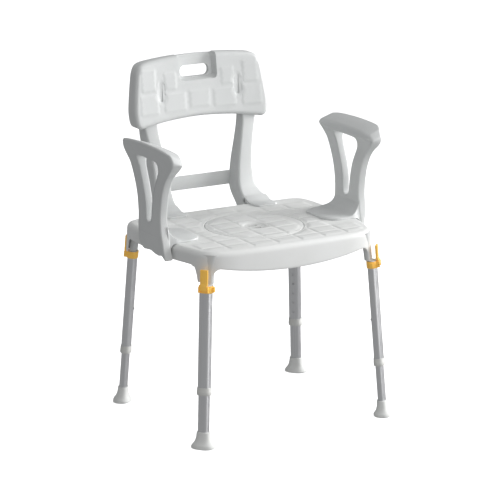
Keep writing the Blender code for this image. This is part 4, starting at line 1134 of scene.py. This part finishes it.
def make_legs():
    drills = [BUTTON_HEIGHT + k * HOLE_PITCH for k in range(-3, 4)]
    for name, sx, sy in LEGS:
        matrix = leg_matrix(sx, sy)
        tube("upper_tube_" + name, OUTER_TUBE, OUTER_WALL, OUTER_ENDS, "leg_" + name,
             "outer_tube_" + name, matrix, drills)
        tube("lower_tube_" + name, INNER_TUBE, INNER_WALL, INNER_ENDS, "height_" + name,
             "inner_tube_" + name, matrix, [BUTTON_HEIGHT])
        make_collar(name, matrix)
        make_foot(name, matrix)
        make_latch(name, matrix, sy < 0, -1 if sx * sy < 0 else 1)
        for part in ("snap_button_", "button_spring_", "latch_pin_"):
            shown = frame["nodes"][part + name]
            shown.data.materials.clear()
            shown.data.materials.append(STEEL)


# ---- Studio --------------------------------------------------------------------------------
CAMERA_TURN, CAMERA_RISE = math.radians(-29.74), math.radians(14.815)
AIM = Vector((0.0, 0.0, 0.45))
LIGHT_DISTANCE, LIGHT_SIZE = 3.6, 2.0


def direction(azimuth, elevation):
    """Unit vector from the chair; azimuth 0 is in front of it and a quarter turn to its right."""
    return Vector((math.sin(azimuth) * math.cos(elevation), -math.cos(azimuth) * math.cos(elevation),
                   math.sin(elevation)))


def floor_material():
    made, tree, shader, place = base_material("studio_floor")
    shade = between(tree, noise(tree, place, 3.0), 0.0, 1.0)
    two_colours(tree, shader, shade, (0.93, 0.93, 0.93), (0.92, 0.92, 0.92))
    shader.inputs["Roughness"].default_value = 0.9
    shader.inputs["Emission Color"].default_value = (1.0, 1.0, 1.0, 1.0)
    shader.inputs["Emission Strength"].default_value = 0.80
    return made


def make_studio():
    """A pale sweep: flat floor that turns up into a backdrop far behind the chair."""
    profile = [(-6.0, 0.0), (3.0, 0.0), (5.0, 0.0)]
    for angle in range(10, 91, 10):
        t = math.radians(angle)
        profile.append((5.0 + 2.0 * math.sin(t), 2.0 - 2.0 * math.cos(t)))
    profile.append((7.0, 9.0))
    mesh = bpy.data.meshes.new("studio_sweep")
    mesh.from_pydata([(x, y, z) for y, z in profile for x in (-9.0, 9.0)], [],
                     [(2 * k, 2 * k + 1, 2 * k + 3, 2 * k + 2) for k in range(len(profile) - 1)])
    mesh.shade_smooth()
    mesh.materials.append(floor_material())
    sweep = bpy.data.objects.new("studio_sweep", mesh)
    bpy.context.scene.collection.objects.link(sweep)
    sweep.rotation_euler = (0, 0, CAMERA_TURN)
    sweep.visible_diffuse = False
    sweep.visible_glossy = False


def area_light(name, azimuth, elevation, power, colour=(1.0, 1.0, 1.0)):
    """A soft square light that looks at the chair from a direction in degrees."""
    away = direction(math.radians(azimuth), math.radians(elevation))
    data = bpy.data.lights.new(name, "AREA")
    data.shape = "SQUARE"
    data.size = LIGHT_SIZE
    data.energy = power
    data.color = colour
    light = bpy.data.objects.new(name, data)
    bpy.context.scene.collection.objects.link(light)
    light.location = AIM + away * LIGHT_DISTANCE
    light.rotation_mode = "QUATERNION"
    light.rotation_quaternion = away.to_track_quat("Z", "Y")


def make_light_and_camera():
    scene = bpy.context.scene
    scene.view_settings.view_transform = "Standard"
    surround = bpy.data.worlds.new("studio")
    surround.use_nodes = True
    background = surround.node_tree.nodes["Background"]
    background.inputs["Color"].default_value = (0.98, 0.99, 1.0, 1.0)
    background.inputs["Strength"].default_value = 0.335
    scene.world = surround
    area_light("key", 71.0, 18.0, 132.0)
    area_light("top", 10.0, 74.0, 24.0, (1.0, 1.0, 0.99))
    area_light("front", 14.0, 2.0, 24.0)
    data = bpy.data.cameras.new("camera")
    data.lens = 205.2
    data.sensor_width = 36.0
    data.clip_end = 60.0
    camera = bpy.data.objects.new("camera", data)
    scene.collection.objects.link(camera)
    back = direction(CAMERA_TURN, CAMERA_RISE)
    right = Vector((math.cos(CAMERA_TURN), math.sin(CAMERA_TURN), 0.0))
    up = back.cross(right)
    turn = Matrix((right, up, back)).transposed().to_4x4()
    place = world(*AIM) + back * 6.886 - right * 0.004 - up * 0.048
    camera.matrix_world = Matrix.Translation(place) @ turn
    scene.camera = camera


make_seat()
make_posts()
make_insert()
make_panel()
make_uprights()
for arm_side in (-1, 1):
    make_armrest(arm_side)
make_legs()
make_studio()
make_light_and_camera()
bpy.context.view_layer.update()
